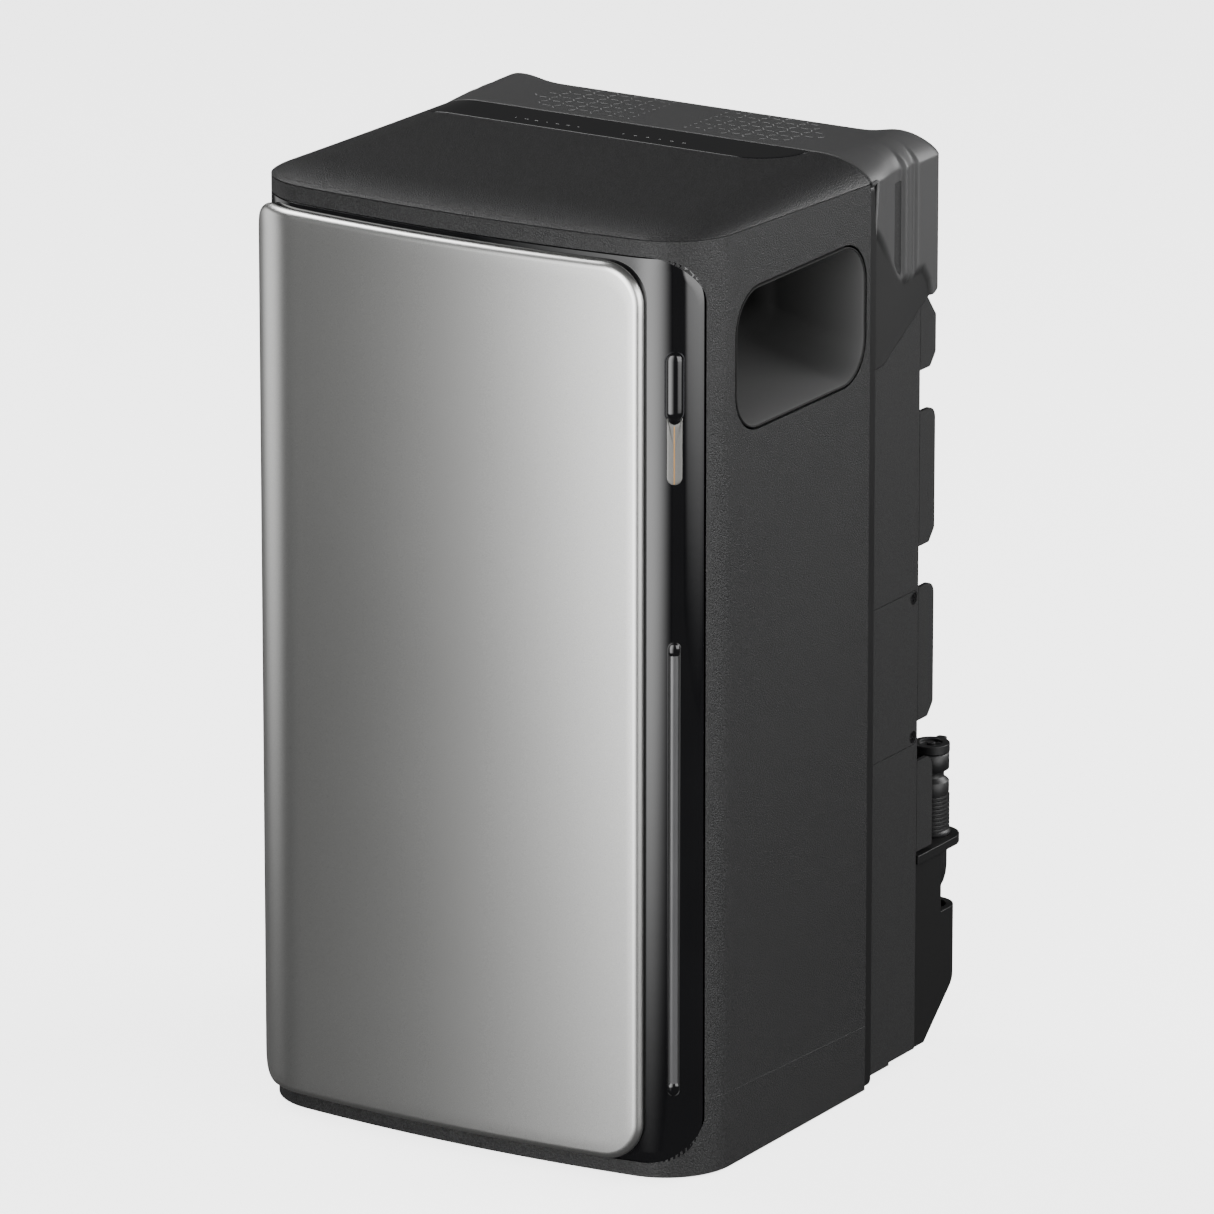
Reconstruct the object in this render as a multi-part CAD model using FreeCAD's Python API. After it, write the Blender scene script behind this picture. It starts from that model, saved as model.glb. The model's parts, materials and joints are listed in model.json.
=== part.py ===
"""Upright plug-in home battery: a casing on a flat base, a proud front panel, a finned rear housing
under a lift-off rain hood, and a parked plug.

Frame: the origin is the centre of the rest face under the feet, the front faces -Y, the right-hand
side is +X and +Z is up. Every size is in millimetres.
"""
import FreeCAD, Part
import math
import os
from FreeCAD import Vector as V

os.makedirs("parts", exist_ok=True)

# ---- Overall sizes -------------------------------------------------------------------------------
body_width = 280.0            # across the side walls
body_depth = 190.0            # crown of the bowed front to the rear seam
seam_height = 519.5           # rest face to the top seam, at the front
top_rise = 6.5                # top seam to the flat of the top, at the front
seam_slope = 0.036            # the seams fall towards the rear by this much per millimetre
corner_radius = 40.0          # vertical front corners
bow_height = 10.6             # how far the front's crown stands ahead of the sides
front_y = -130.0              # crown of the bowed front
casing_wall = 3.0
base_seam = 45.5              # height of the base's seam at the front
foot_height = 1.5
foot_radius = 12.0
base_screw_radius = 1.8
roll_depth = 34.0             # width of the soft roll round the top
strip_left = -127.0
strip_right = 102.0
strip_front = 29.0
strip_corner = 14.0
strip_thickness = 5.0
rim_depth = 14.0              # top cover's hidden rim below the seam

# ---- Front --------------------------------------------------------------------------------------
fascia_low = 10.0
fascia_gap = 0.4              # all round the fascia, in the casing's opening
fascia_top_gap = 9.5          # seam to the top of the fascia
fascia_side_gap = 5.0         # right-hand edge of the fascia inside the casing's side
fascia_thickness = 2.5
fascia_corner = 25.0
wrap_back = 48.0              # how far the fascia wraps back along the left side
panel_proud = 7.0
panel_thickness = 2.0
panel_side_gap = 28.0         # right-hand edge of the panel inside the casing's side
panel_corner = 22.0
panel_wrap_back = 24.0        # how far the panel wraps back round the left-hand corner
panel_top_gap = 3.0           # panel's top edge below the fascia's
carrier_inset = 4.5           # carrier's edge inside the panel's edge
carrier_wall = 2.0
carrier_rim = 8.0

# ---- Button, badge and light bar, on the right-hand front corner ----------------------------------
control_angle = 37.0          # round the corner, from straight ahead
button_width = 8.3
button_low = 422.4
button_high = 458.6
button_clearance = 0.35
button_travel = 1.2
bezel_wall = 0.6
stem_length = 3.0             # button's stem, down to its switch
switch_gap = 0.4
switch_height = 2.0
button_flange_sink = 2.5      # underside of the button's flange behind the fascia
button_rise = 0.8             # button's face ahead of the fascia
badge_low = 387.0
light_low = 49.0
light_high = 299.5
light_width = 4.4
light_frame_wall = 1.4
lens_sink = 0.6               # lens below the fascia's face

# ---- Handles ------------------------------------------------------------------------------------
handle_front = -79.0
handle_length = 133.0
handle_low = 408.0
handle_height = 75.0
handle_corner = 22.0
handle_depth = 60.0
cup_wall = 2.2
cup_slope_rise = 26.0

# ---- Rear ---------------------------------------------------------------------------------------
trim_depth = 6.0
trim_width = 8.0
housing_inset = 3.0           # housing's side inside the casing's side
housing_depth = 56.0
housing_wall = 3.5
housing_low = 6.0
housing_top_drop = 20.0       # flat of the top to the housing's top
gasket_inset = 4.0
gasket_width = 2.5
gasket_depth = 1.5
service_low = 184.0
service_high = 272.0
service_cover_thickness = 2.0
screw_head = 3.25             # cover screws: head radius
screw_shank = 1.5
screw_sink = 1.2              # depth of a cover screw's seat
cover_head_height = 0.8
rear_head_height = 2.0
fin_depth = 16.0
fin_thickness = 2.4
fin_count = 29
fin_span = 270.0              # outside of the first fin to outside of the last
fin_height = 76.0
fin_pitch = 99.3
fin_rows = 3
fin_row_low = 96.0
heat_base = 2.0
pack_foot = 0.8
hood_wall = 2.2
hood_gap = 0.4                # round the housing
hood_skirt_low = 407.0        # the skirt's lowest point, beside the trim
hood_rear_low = 440.0
hood_horn = 4.5
hood_seat = 0.4               # under the hood, above its bumpers

# ---- Battery ------------------------------------------------------------------------------------
cell_width = 115.8
cell_pitch = 50.0
cell_thickness = 49.0
cell_length = 160.0
cell_side_gap = 0.2           # cells to the stack's side straps
cell_levels = 6
cell_front = -105.0
tray_height = 15.5
end_plate = 4.0
bms_lift = 8.0                # battery management board above the end plate
strap_width = 24.0
strap_thickness = 2.0
pad_thickness = 0.6           # thermal pads
link_x = 42.0
link_drop = 30.0              # power links below the stack's top
board_stand = 22.5            # inverter board ahead of the housing's rear wall

# ---- Plug and its bracket -----------------------------------------------------------------------
plug_radius = 10.0
plug_clearance = 1.0
ring_wall = 5.0
ring_thickness = 5.0
ring_top = 118.0
plug_reach = 41.0             # housing's rear wall to the plug's axis
lobe_top = 77.0
lobe_low = 42.0
cup_radius = 9.0
lobe_inset = 3.0              # lobe's side inside the ring's
web_thickness = 3.0
shoulder = 1.5                # cup's shoulder
cap_stem = 5.0

# ---- Rear sockets -------------------------------------------------------------------------------
socket_low = 20.0
socket_high = 90.0
socket_left = -126.0
socket_right = 94.0
outlet_x = -20.0
outlet_radius = 19.5
outlet_size = 60.0
outlet_rim_wall = 2.0
socket_plate = 3.0
outlet_frame_rise = 6.0
outlet_depth = 17.0
inlet_x = 62.0
lid_barrel = 3.0
lid_gap = 0.4
lid_pin_radius = 1.5
running_gap = 0.05

# ---- Worked-out places --------------------------------------------------------------------------
half_width = body_width / 2
rear_y = front_y + body_depth
top_z = seam_height + top_rise
bow_radius = (half_width**2 + bow_height**2) / (2 * bow_height)
bow_y = front_y + bow_radius
corner_x = half_width - corner_radius
bow_end = math.asin(corner_x / (bow_radius - corner_radius))
corner_y = bow_y - (bow_radius - corner_radius) * math.cos(bow_end)
fascia_high = seam_height - fascia_top_gap
fascia_right = half_width - fascia_side_gap
panel_right = half_width - panel_side_gap
panel_high = fascia_high - panel_top_gap
panel_low = fascia_low + 0.5
fascia_wrap = front_y + wrap_back
panel_wrap = front_y + panel_wrap_back
base_floor = foot_height + casing_wall
handle_rear = handle_front + handle_length
handle_high = handle_low + handle_height
trim_rear = rear_y + trim_depth
housing_x = half_width - housing_inset
housing_rear = trim_rear + housing_depth
housing_inner_rear = housing_rear - housing_wall
housing_high = top_z - housing_top_drop
trim_high = seam_height - seam_slope * body_depth + 0.8
hood_x = housing_x + hood_gap + hood_wall
fin_rear = housing_rear + heat_base + fin_depth
hood_rear = fin_rear
cell_low = base_floor + tray_height + end_plate
stack_high = cell_low + cell_levels * cell_pitch
cell_rear = cell_front + cell_length
plug_x = housing_x - plug_radius - plug_clearance - ring_wall
plug_y = housing_rear + plug_reach
ring_radius = plug_radius + plug_clearance + ring_wall
socket_mid = (socket_low + socket_high) / 2
turn = math.radians(control_angle)
control_out = V(math.sin(turn), -math.cos(turn), 0)
control_side = V(math.cos(turn), math.sin(turn), 0)
corner_centre = V(corner_x, corner_y, 0)
bezel_width = button_width + 2 * (button_clearance + bezel_wall)
bezel_low = button_low - button_clearance - bezel_wall
bezel_high = button_high + button_clearance + bezel_wall
light_frame_width = light_width + 2 * light_frame_wall
light_frame_low = light_low - light_frame_wall
light_frame_high = light_high + light_frame_wall
button_base = corner_radius - fascia_thickness - button_flange_sink
button_face = corner_radius + button_rise
board_face = button_base - stem_length - button_travel - switch_gap - switch_height
panel_limits = (panel_low, panel_high, panel_right, panel_wrap, panel_corner)
cover_front = trim_rear + 0.5
cover_rear = housing_rear - 2.5
stack_x = cell_width + cell_side_gap
link_z = stack_high - link_drop
board_y = housing_inner_rear - board_stand
inverter_low = socket_high + 8
inverter_high = housing_high - 25
panel_face = housing_rear + socket_plate
outlet_rim = outlet_radius + outlet_rim_wall
outlet_face = panel_face + outlet_frame_rise
lid_axis = V(0, outlet_face + lid_barrel + lid_gap, socket_high - 8)
lid_half = outlet_size / 2 - 2
lobe_radius = ring_radius - lobe_inset
plug_tail = ring_top - 31
rib_low = ring_top + 7
waist_low = ring_top + 34
head_low = waist_low + 6
head_high = head_low + 7

AXES = {
    "x": (V(0, 1, 0), V(0, 0, 1), V(1, 0, 0)),
    "y": (V(1, 0, 0), V(0, 0, 1), V(0, 1, 0)),
    "z": (V(1, 0, 0), V(0, 1, 0), V(0, 0, 1)),
}


# ---- Building blocks ----------------------------------------------------------------------------
def save(name, shape):
    """Write one named piece."""
    shape.exportStep("parts/" + name + ".step")


def prism(corners, axis, start, end):
    """Solid along an axis whose outline joins corners (u, v) or (u, v, radius) by straight sides."""
    u_dir, v_dir, w_dir = AXES[axis]
    count = len(corners)
    flat = [V(corner[0], corner[1], 0) for corner in corners]
    arcs = []
    for index, corner in enumerate(corners):
        here = flat[index]
        radius = corner[2] if len(corner) > 2 else 0.0
        back = (flat[index - 1] - here).normalize()
        ahead = (flat[(index + 1) % count] - here).normalize()
        if radius <= 0:
            arcs.append((here, None, here))
            continue
        half = back.getAngle(ahead) / 2
        reach = radius / math.tan(half)
        middle = here + (back + ahead).normalize() * (radius / math.sin(half) - radius)
        arcs.append((here + back * reach, middle, here + ahead * reach))

    def place(point):
        return u_dir * point.x + v_dir * point.y + w_dir * start

    edges = []
    for index, (entry, middle, leave) in enumerate(arcs):
        if middle is not None:
            edges.append(Part.Arc(place(entry), place(middle), place(leave)).toShape())
        following = arcs[(index + 1) % count][0]
        if leave.distanceToPoint(following) > 1e-6:
            edges.append(Part.LineSegment(place(leave), place(following)).toShape())
    return Part.Face(Part.Wire(edges)).extrude(w_dir * (end - start))


def slab(axis, u0, u1, v0, v1, w0, w1, radius=0.0):
    """Block from w0 to w1 along an axis, with its four edges along that axis rounded."""
    return prism([(u0, v0, radius), (u1, v0, radius), (u1, v1, radius), (u0, v1, radius)], axis, w0, w1)


def block(x0, x1, y0, y1, z0, z1):
    return Part.makeBox(x1 - x0, y1 - y0, z1 - z0, V(x0, y0, z0))


def rod(radius, start, direction, length):
    return Part.makeCylinder(radius, length, start, direction)


def ring(outer, inner, start, direction, length):
    return rod(outer, start, direction, length).cut(rod(inner, start, direction, length))


def group(solids):
    return Part.makeCompound(solids)


def joined(solids):
    """One solid from pieces that touch or overlap."""
    first = solids[0]
    return first.fuse(solids[1:]).removeSplitter() if len(solids) > 1 else first


def mirrored(shape):
    return shape.mirror(V(0, 0, 0), V(1, 0, 0))


def both_sides(shape):
    return [shape, mirrored(shape)]


def screw(head_radius, head_height, shank_radius, length, place, inward):
    """Cross-head screw: a low head with a cross slot, and a shank along inward."""
    head = rod(head_radius, place, inward, head_height)
    side = V(0, 0, 1).cross(inward)
    if side.Length < 0.5:
        side = V(1, 0, 0)
    up = inward.cross(side)
    for across, along in ((side, up), (up, side)):
        half = head_radius * 0.62
        corners = [place + across * (half * i) + along * (head_radius * 0.14 * j)
                   for i, j in ((-1, -1), (1, -1), (1, 1), (-1, 1))]
        wire = Part.makePolygon(corners + corners[:1])
        head = head.cut(Part.Face(wire).extrude(inward * (head_height * 0.5)))
    return joined([head, rod(shank_radius, place + inward * head_height, inward, length - head_height)])


# ---- The body's outline -------------------------------------------------------------------------
def plan_wire(inset, back, level=0.0):
    """Outline seen from above, moved in by inset: a bowed front, round corners, straight sides."""
    side = half_width - inset
    small = corner_radius - inset
    large = bow_radius - inset

    def on_corner(angle):
        return V(corner_x + small * math.sin(angle), corner_y - small * math.cos(angle), level)

    def flip(point):
        return V(-point.x, point.y, point.z)

    start = on_corner(math.pi / 2)
    middle = on_corner((math.pi / 2 + bow_end) / 2)
    end = on_corner(bow_end)
    crown = V(0, bow_y - large, level)
    rear_right = V(side, back, level)
    return Part.Wire([
        Part.LineSegment(rear_right, start).toShape(),
        Part.Arc(start, middle, end).toShape(),
        Part.Arc(end, crown, flip(end)).toShape(),
        Part.Arc(flip(end), flip(middle), flip(start)).toShape(),
        Part.LineSegment(flip(start), flip(rear_right)).toShape(),
        Part.LineSegment(flip(rear_right), rear_right).toShape(),
    ])


def plan_solid(inset, back, low, high):
    return Part.Face(plan_wire(inset, back, low)).extrude(V(0, 0, high - low))


def seam_level(height, y):
    """Height at y of a seam that stands at height over the front's crown."""
    return height - seam_slope * (y - front_y)


def above_seam(height):
    """Everything above a seam's sloping plane."""
    far = 2 * body_depth
    ends = (front_y - far, rear_y + far)
    return prism([
        (ends[0], seam_level(height, ends[0])), (ends[1], seam_level(height, ends[1])),
        (ends[1], height + seam_height), (ends[0], height + seam_height),
    ], "x", -body_width, body_width)


def front_tool(low, high, right, wrap, radius, grow):
    """Region of the front behind which a wrapped sheet is kept: round corners on both edges."""
    far = body_width
    ahead = prism([
        (-far, low - grow), (right + grow, low - grow, radius + grow),
        (right + grow, high + grow, radius + grow), (-far, high + grow),
    ], "y", front_y - far, rear_y)
    aside = prism([
        (front_y - far, low - grow), (wrap + grow, low - grow, radius + grow),
        (wrap + grow, high + grow, radius + grow), (front_y - far, high + grow),
    ], "x", -far, far)
    return ahead.common(aside)


def wrapped(outer, inner, low, high, right, wrap, radius, grow=0.0):
    """Sheet that follows the front between two insets."""
    tool = front_tool(low, high, right, wrap, radius, grow)
    sheet = plan_solid(outer, rear_y, low - 1, high + 1)
    sheet = sheet.cut(plan_solid(inner, rear_y + 1, low - 2, high + 2))
    return sheet.common(tool)


def fascia_tool(grow):
    return front_tool(fascia_low, fascia_high, fascia_right, fascia_wrap, fascia_corner, grow)


# ---- Shapes on the right-hand front corner --------------------------------------------------------


def on_control(shape):
    """Turn a shape made along -Y at the origin to the control line's direction on the corner."""
    shape.rotate(V(0, 0, 0), V(0, 0, 1), control_angle)
    shape.translate(corner_centre)
    return shape


def curved_pill(width, low, high, inner, outer):
    """Upright pill between two radii of the front corner, so that its face follows the corner."""
    pill = slab("y", -width / 2, width / 2, low, high, -(outer + 2), -(inner - 2), width / 2 - 0.01)
    shell = ring(outer, inner, V(0, 0, low - 1), V(0, 0, 1), high - low + 2)
    return on_control(pill.common(shell))


def control_block(width, low, high, inner, outer):
    return on_control(block(-width / 2, width / 2, -outer, -inner, low, high))


# ---- Casing -------------------------------------------------------------------------------------
def handle_slab(grow, near, far):
    return slab("x", handle_front - grow, handle_rear + grow, handle_low - grow, handle_high + grow,
                near, far, handle_corner + grow)


def make_main_casing():
    shell = plan_solid(0, rear_y, 0, top_z).cut(plan_solid(casing_wall, rear_y + 1, -1, top_z + 1))
    shell = shell.cut(above_seam(seam_height)).common(above_seam(base_seam))
    shell = shell.cut(fascia_tool(fascia_gap))
    for hole in both_sides(handle_slab(cup_wall, half_width - 2 * casing_wall, half_width + 1)):
        shell = shell.cut(hole)
    return shell


def foot_places():
    """One foot under the middle, at the origin, and one near each corner."""
    reach_x = half_width - corner_radius
    return [V(0, 0, 0)] + [V(x, y, 0) for x in (-reach_x, reach_x) for y in (corner_y + 10, rear_y - 30)]


def base_screw_places():
    return [V(x, y, foot_height) for x in (-60, 60) for y in (cell_front + 20, cell_rear - 20)]


def make_base_casing():
    shell = plan_solid(0, rear_y, foot_height, base_seam + 1)
    shell = shell.cut(plan_solid(casing_wall, rear_y - casing_wall, base_floor, base_seam + 2))
    shell = shell.cut(above_seam(base_seam)).cut(fascia_tool(fascia_gap))
    for place in base_screw_places():
        shell = shell.cut(rod(base_screw_radius, place, V(0, 0, 1), casing_wall))
    return shell


def tilted_wire(inset, height_front, height_rear):
    """Outline on a plane that falls from height_front at the crown to height_rear at the rear."""
    shear = FreeCAD.Matrix()
    shear.A32 = (height_rear - height_front) / body_depth
    shear.A34 = height_front - shear.A32 * front_y
    return plan_wire(inset, rear_y).transformGeometry(shear).Wires[0]


def make_cover_form():
    """Top as nested rings: from the seam's slope up to the flat, along a quarter ellipse."""
    rear_rise = top_rise + seam_slope * body_depth
    steps = (0.0, 0.03, 0.09, 0.2, 0.36, 0.6, 1.0)
    wires = []
    for step in steps:
        lift = math.sqrt(1 - (1 - step)**2)
        wires.append(tilted_wire(step * roll_depth, top_z - top_rise * (1 - lift),
                                 top_z - rear_rise * (1 - lift)))
    rings = [Part.makeLoft(list(pair), True, True) for pair in zip(wires, wires[1:])]
    return rings[0].fuse(rings[1:])


def strip_prism():
    width_corner = 2 * strip_corner
    return prism([(strip_left, strip_front, strip_corner), (strip_right, strip_front, width_corner),
                  (strip_right, rear_y), (strip_left, rear_y)], "z", top_z - strip_thickness, top_z + 5)


def make_top_cover(form):
    cover = form.cut(strip_prism())
    thin = 4.0
    inset = casing_wall + 8
    hollow = plan_solid(inset, strip_front - 4, seam_height - roll_depth, top_z - thin)
    deep = plan_solid(inset, rear_y - casing_wall, seam_height - roll_depth, top_z - strip_thickness - 3)
    rim = plan_solid(casing_wall, rear_y - casing_wall, seam_height - rim_depth, top_z - top_rise)
    rim = rim.cut(plan_solid(casing_wall + 2, rear_y, seam_height - rim_depth - 1, top_z))
    rim = rim.cut(above_seam(seam_height + 0.2))
    return cover.cut(hollow).cut(deep).fuse(rim).removeSplitter()


def make_trim_frame():
    frame = slab("y", -half_width, half_width, foot_height, trim_high, rear_y, trim_rear, 5)
    inner = slab("y", trim_width - half_width, half_width - trim_width, foot_height + trim_width,
                 trim_high - trim_width, rear_y - 1, trim_rear + 1, 3)
    return frame.cut(inner).cut(gasket_ring())


def gasket_ring():
    edge = half_width - gasket_inset
    outer = slab("y", -edge, edge, housing_low + 1, trim_high - gasket_inset,
                 trim_rear - gasket_depth, trim_rear, 5)
    inner = slab("y", gasket_width - edge, edge - gasket_width, housing_low + 1 + gasket_width,
                 trim_high - gasket_inset - gasket_width, trim_rear - gasket_depth - 1, trim_rear + 1, 3)
    return outer.cut(inner)


def make_handle_cup():
    near = half_width - handle_depth
    cup = handle_slab(cup_wall, near - cup_wall, half_width)
    cup = cup.cut(handle_slab(0, near, half_width + 1))
    slope = prism([(near, handle_low), (half_width - 2, handle_low), (near, handle_low + cup_slope_rise)],
                  "y", handle_front, handle_rear)
    return cup.fuse(slope.common(handle_slab(0, near, half_width))).removeSplitter()


# ---- Front --------------------------------------------------------------------------------------
def make_front_fascia():
    sheet = wrapped(0, fascia_thickness, fascia_low, fascia_high, fascia_right, fascia_wrap, fascia_corner)
    reach = corner_radius + 1
    under = corner_radius - fascia_thickness - 1
    sheet = sheet.cut(curved_pill(bezel_width, bezel_low, bezel_high, under, reach))
    sheet = sheet.cut(badge_form(under, reach))
    return sheet.cut(curved_pill(light_frame_width, light_frame_low, light_frame_high, under, reach))


def badge_form(inner, outer):
    """Pill whose top end is hollowed to nest round the lower end of the button's bezel."""
    pill = curved_pill(button_width, badge_low, bezel_low + bezel_width, inner, outer)
    nest = curved_pill(bezel_width + 0.8, bezel_low - 0.4, bezel_high, inner - 1, outer + 1)
    return pill.cut(nest)


def make_panel():
    return wrapped(-panel_proud, panel_thickness - panel_proud, *panel_limits)


def make_carrier():
    """Tray behind the panel: a thin sheet with a rim that stands on the fascia."""
    face = panel_thickness - panel_proud
    tray = wrapped(face, 0, *panel_limits, -carrier_inset)
    return tray.cut(wrapped(face + carrier_wall, 0, *panel_limits, -carrier_inset - carrier_rim))


def make_power_button():
    cap = curved_pill(button_width, button_low, button_high, button_base, button_face)
    flange = curved_pill(bezel_width + 2, bezel_low - 1, bezel_high + 1, button_base, button_base + 1.6)
    middle = corner_centre + V(0, 0, (button_low + button_high) / 2)
    stem = rod(2.0, middle + control_out * (button_base - stem_length), control_out, stem_length + 1)
    return joined([cap, flange, stem])


def make_bezel():
    inner = corner_radius - fascia_thickness
    outer = corner_radius + 0.35
    hole_width = button_width + 2 * button_clearance
    hole = curved_pill(hole_width, button_low - button_clearance, button_high + button_clearance,
                       inner - 1, outer + 1)
    return curved_pill(bezel_width, bezel_low, bezel_high, inner, outer).cut(hole)


def make_button_board():
    board = control_block(14, button_low - 8, button_high + 8, board_face - 1.6, board_face)
    middle = (button_low + button_high) / 2
    switch = control_block(6, middle - 3, middle + 3, board_face, board_face + switch_height)
    chips = [control_block(5, z, z + 4, board_face, board_face + 1.2)
             for z in (button_low - 4, button_high)]
    return joined([board, switch] + chips)


def make_light_frame():
    inner = corner_radius - fascia_thickness
    outer = curved_pill(light_frame_width, light_frame_low, light_frame_high, inner, corner_radius)
    return outer.cut(curved_pill(light_width, light_low, light_high, inner - 1, corner_radius + 1))


def make_light_lens():
    inner = corner_radius - fascia_thickness
    return curved_pill(light_width, light_low, light_high, inner, corner_radius - lens_sink)


def make_led_strip():
    face = corner_radius - fascia_thickness - 1.0
    strip = control_block(8, light_low, light_high, face - 1.6, face - 0.6)
    spacing = (light_high - light_low) / 20
    starts = [light_low + spacing * (n + 0.5) for n in range(20)]
    leds = [control_block(2, start, start + 2, face - 0.6, face) for start in starts]
    return joined([strip] + leds)


# ---- Rear housing, heat sink and hood -------------------------------------------------------------


def service_screw_places():
    y = cover_rear - 4.8
    return [V(housing_x, y, service_high - 4.5), V(housing_x, y, service_low + 4.5)]


def service_slab(grow, near, far):
    return prism([(cover_front - grow, service_low - grow), (cover_rear + grow, service_low - grow, 5),
                  (cover_rear + grow, service_high + grow, 5), (cover_front - grow, service_high + grow)],
                 "x", near, far)


def make_rear_housing():
    shell = prism([(-housing_x, trim_rear), (housing_x, trim_rear), (housing_x, housing_rear, 4),
                   (-housing_x, housing_rear, 4)], "z", housing_low, housing_high)
    shell = shell.cut(block(housing_wall - housing_x, housing_x - housing_wall, trim_rear - 1,
                            housing_inner_rear, housing_low + housing_wall, housing_high - housing_wall))
    step_y = trim_rear + housing_depth * 0.45
    shell = shell.cut(block(-body_width, body_width, step_y, housing_rear + 1,
                            housing_low - 1, housing_low + 1.6))
    pocket = service_slab(0, housing_x - service_cover_thickness, housing_x + 1)
    window = slab("x", cover_front + 6, cover_rear - 12, service_low + 10, service_high - 10,
                  housing_x - 2 * housing_wall, housing_x, 4)
    boss = [rod(4.5, place - V(8, 0, 0), V(1, 0, 0), 8 - service_cover_thickness)
            for place in service_screw_places()]
    holes = [rod(screw_shank, place - V(9, 0, 0), V(1, 0, 0), 10) for place in service_screw_places()]
    for flip in (False, True):
        sided = [mirrored(part) if flip else part for part in [pocket, window] + holes]
        bosses = [mirrored(part) if flip else part for part in boss]
        shell = shell.fuse(bosses).cut(sided)
    openings = [slab("y", socket_left + 5, socket_right - 5, socket_low + 5, socket_high - 5,
                     housing_inner_rear - 1, housing_rear + 1, 3)]
    openings += [rod(screw_shank, place, V(0, -1, 0), housing_wall + 1) for place in housing_screw_places()]
    return shell.cut(openings).removeSplitter()


def make_service_cover():
    cover = service_slab(-0.3, housing_x - service_cover_thickness, housing_x)
    for place in service_screw_places():
        cover = cover.cut(rod(screw_shank, place + V(1, 0, 0), V(-1, 0, 0), 5))
        cover = cover.cut(rod(screw_head + 0.2, place + V(1, 0, 0), V(-1, 0, 0), 1 + screw_sink))
    return cover


def make_cover_screws():
    screws = []
    for place in service_screw_places():
        start = place - V(screw_sink - cover_head_height, 0, 0)
        screws += both_sides(screw(screw_head, cover_head_height, screw_shank, 9, start, V(-1, 0, 0)))
    return group(screws)


def housing_screw_places():
    x = housing_x - 9
    return [V(-x, housing_rear, housing_high - 5.5), V(x, housing_rear, housing_high - 5.5),
            V(-x, housing_rear, housing_low + 9)]


def fin_places():
    pitch = (fin_span - fin_thickness) / (fin_count - 1)
    return [-fin_span / 2 + fin_thickness / 2 + pitch * n for n in range(fin_count)]


def fin_outline(low, high, top_cut):
    """Side view of a fin: rounded foot, rounded or slanted head."""
    back = housing_rear + heat_base - 0.5
    head = [(fin_rear, high, 7)]
    if top_cut:
        head = [(fin_rear, high - top_cut), (fin_rear - top_cut * 0.8, high)]
    return [(back, low), (fin_rear - 6, low, 2), (fin_rear, low + 7, 3)] + head + [(back, high)]


def make_heat_sink():
    """Flat plate on the housing's rear wall that carries the fin packs."""
    plate = slab("y", -fin_span / 2, fin_span / 2, fin_row_low - 2, housing_high - 12, housing_rear,
                 housing_rear + heat_base - pack_foot, 4)
    return plate.cut(ring_keepout())


def make_fin_packs():
    """Rows of fins, each row on a thin foot of its own that is bonded to the plate."""
    top_low = fin_row_low + fin_rows * fin_pitch
    starts = [fin_row_low + fin_pitch * n for n in range(fin_rows)]
    rows = [(start, start + fin_height, 0) for start in starts]
    rows.append((top_low, hood_rear_low - 5, 13))
    packs = []
    for low, high, cut in rows:
        foot = block(-fin_span / 2, fin_span / 2, housing_rear + heat_base - pack_foot,
                     housing_rear + heat_base, low, high)
        fins = [prism(fin_outline(low, high, cut), "x", x - fin_thickness / 2, x + fin_thickness / 2)
                for x in fin_places()]
        packs.append(foot.fuse(fins).cut(ring_keepout()))
    return group(packs)


def ring_keepout():
    """Room for the parked plug's bracket beside the lowest fins."""
    edge = plug_x - ring_radius - 2
    return block(edge, body_width, housing_rear - 1, fin_rear + 60, 0, ring_top + 2)


def hood_profile(inset, low_drop):
    """Side view of the hood: front lip on the trim, skirts that sweep up to the rear edge."""
    front = rear_y + 0.4 + inset
    step = trim_high + 0.4
    skirt_front = trim_rear + 0.4
    top_rear = top_z - 2.5
    return [
        (skirt_front, hood_skirt_low - low_drop), (skirt_front + 11, hood_skirt_low - low_drop, 6),
        (hood_rear - inset - 14, hood_rear_low - 5 - low_drop, 10), (hood_rear - inset, hood_rear_low - low_drop),
        (hood_rear - inset, top_rear - inset, 8), (front, top_z - inset), (front, step), (skirt_front, step),
    ]


def hood_form(inset, low_drop):
    side = hood_x - inset
    body = prism(hood_profile(inset, low_drop), "x", -side, side)
    arch = prism([(-side, 0), (side, 0), (side, top_z - inset, 9), (-side, top_z - inset, 9)],
                 "y", rear_y - 5, hood_rear + 5)
    plan = prism([(-side, rear_y - 5), (side, rear_y - 5), (side, hood_rear - inset, 8),
                  (-side, hood_rear - inset, 8)], "z", 0, top_z + 20)
    return body.common(arch).common(plan)


def make_rain_hood():
    shell = hood_form(0, 0)
    horn = Part.makeCone(21, 5, hood_horn + 3, V(hood_x - 24, hood_rear - 23, top_z - 5.5))
    shell = shell.fuse(both_sides(horn)).removeSplitter()
    inner = hood_form(hood_wall, 30)
    throat = block(hood_wall - hood_x, hood_x - hood_wall, rear_y - 1, trim_rear + 5, 0, trim_high + 0.4)
    return shell.cut(inner).cut(throat)


def bumper_places():
    return [V(x, y, housing_high) for x in (-95, 95) for y in (trim_rear + 12, housing_rear - 10)]


def make_hood_bumpers():
    bumpers = []
    for place in bumper_places():
        share = (place.y - rear_y) / (hood_rear - rear_y)
        under = top_z - 2.5 * share - hood_wall - hood_seat - 0.2
        bumpers.append(Part.makeCone(6, 4, under - place.z, place))
    return group(bumpers)


# ---- Battery ------------------------------------------------------------------------------------


def cell_boxes():
    boxes = []
    for level in range(cell_levels):
        low = cell_low + level * cell_pitch
        for x0 in (-stack_x, 0.2):
            boxes.append((x0, low))
    return boxes


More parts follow.
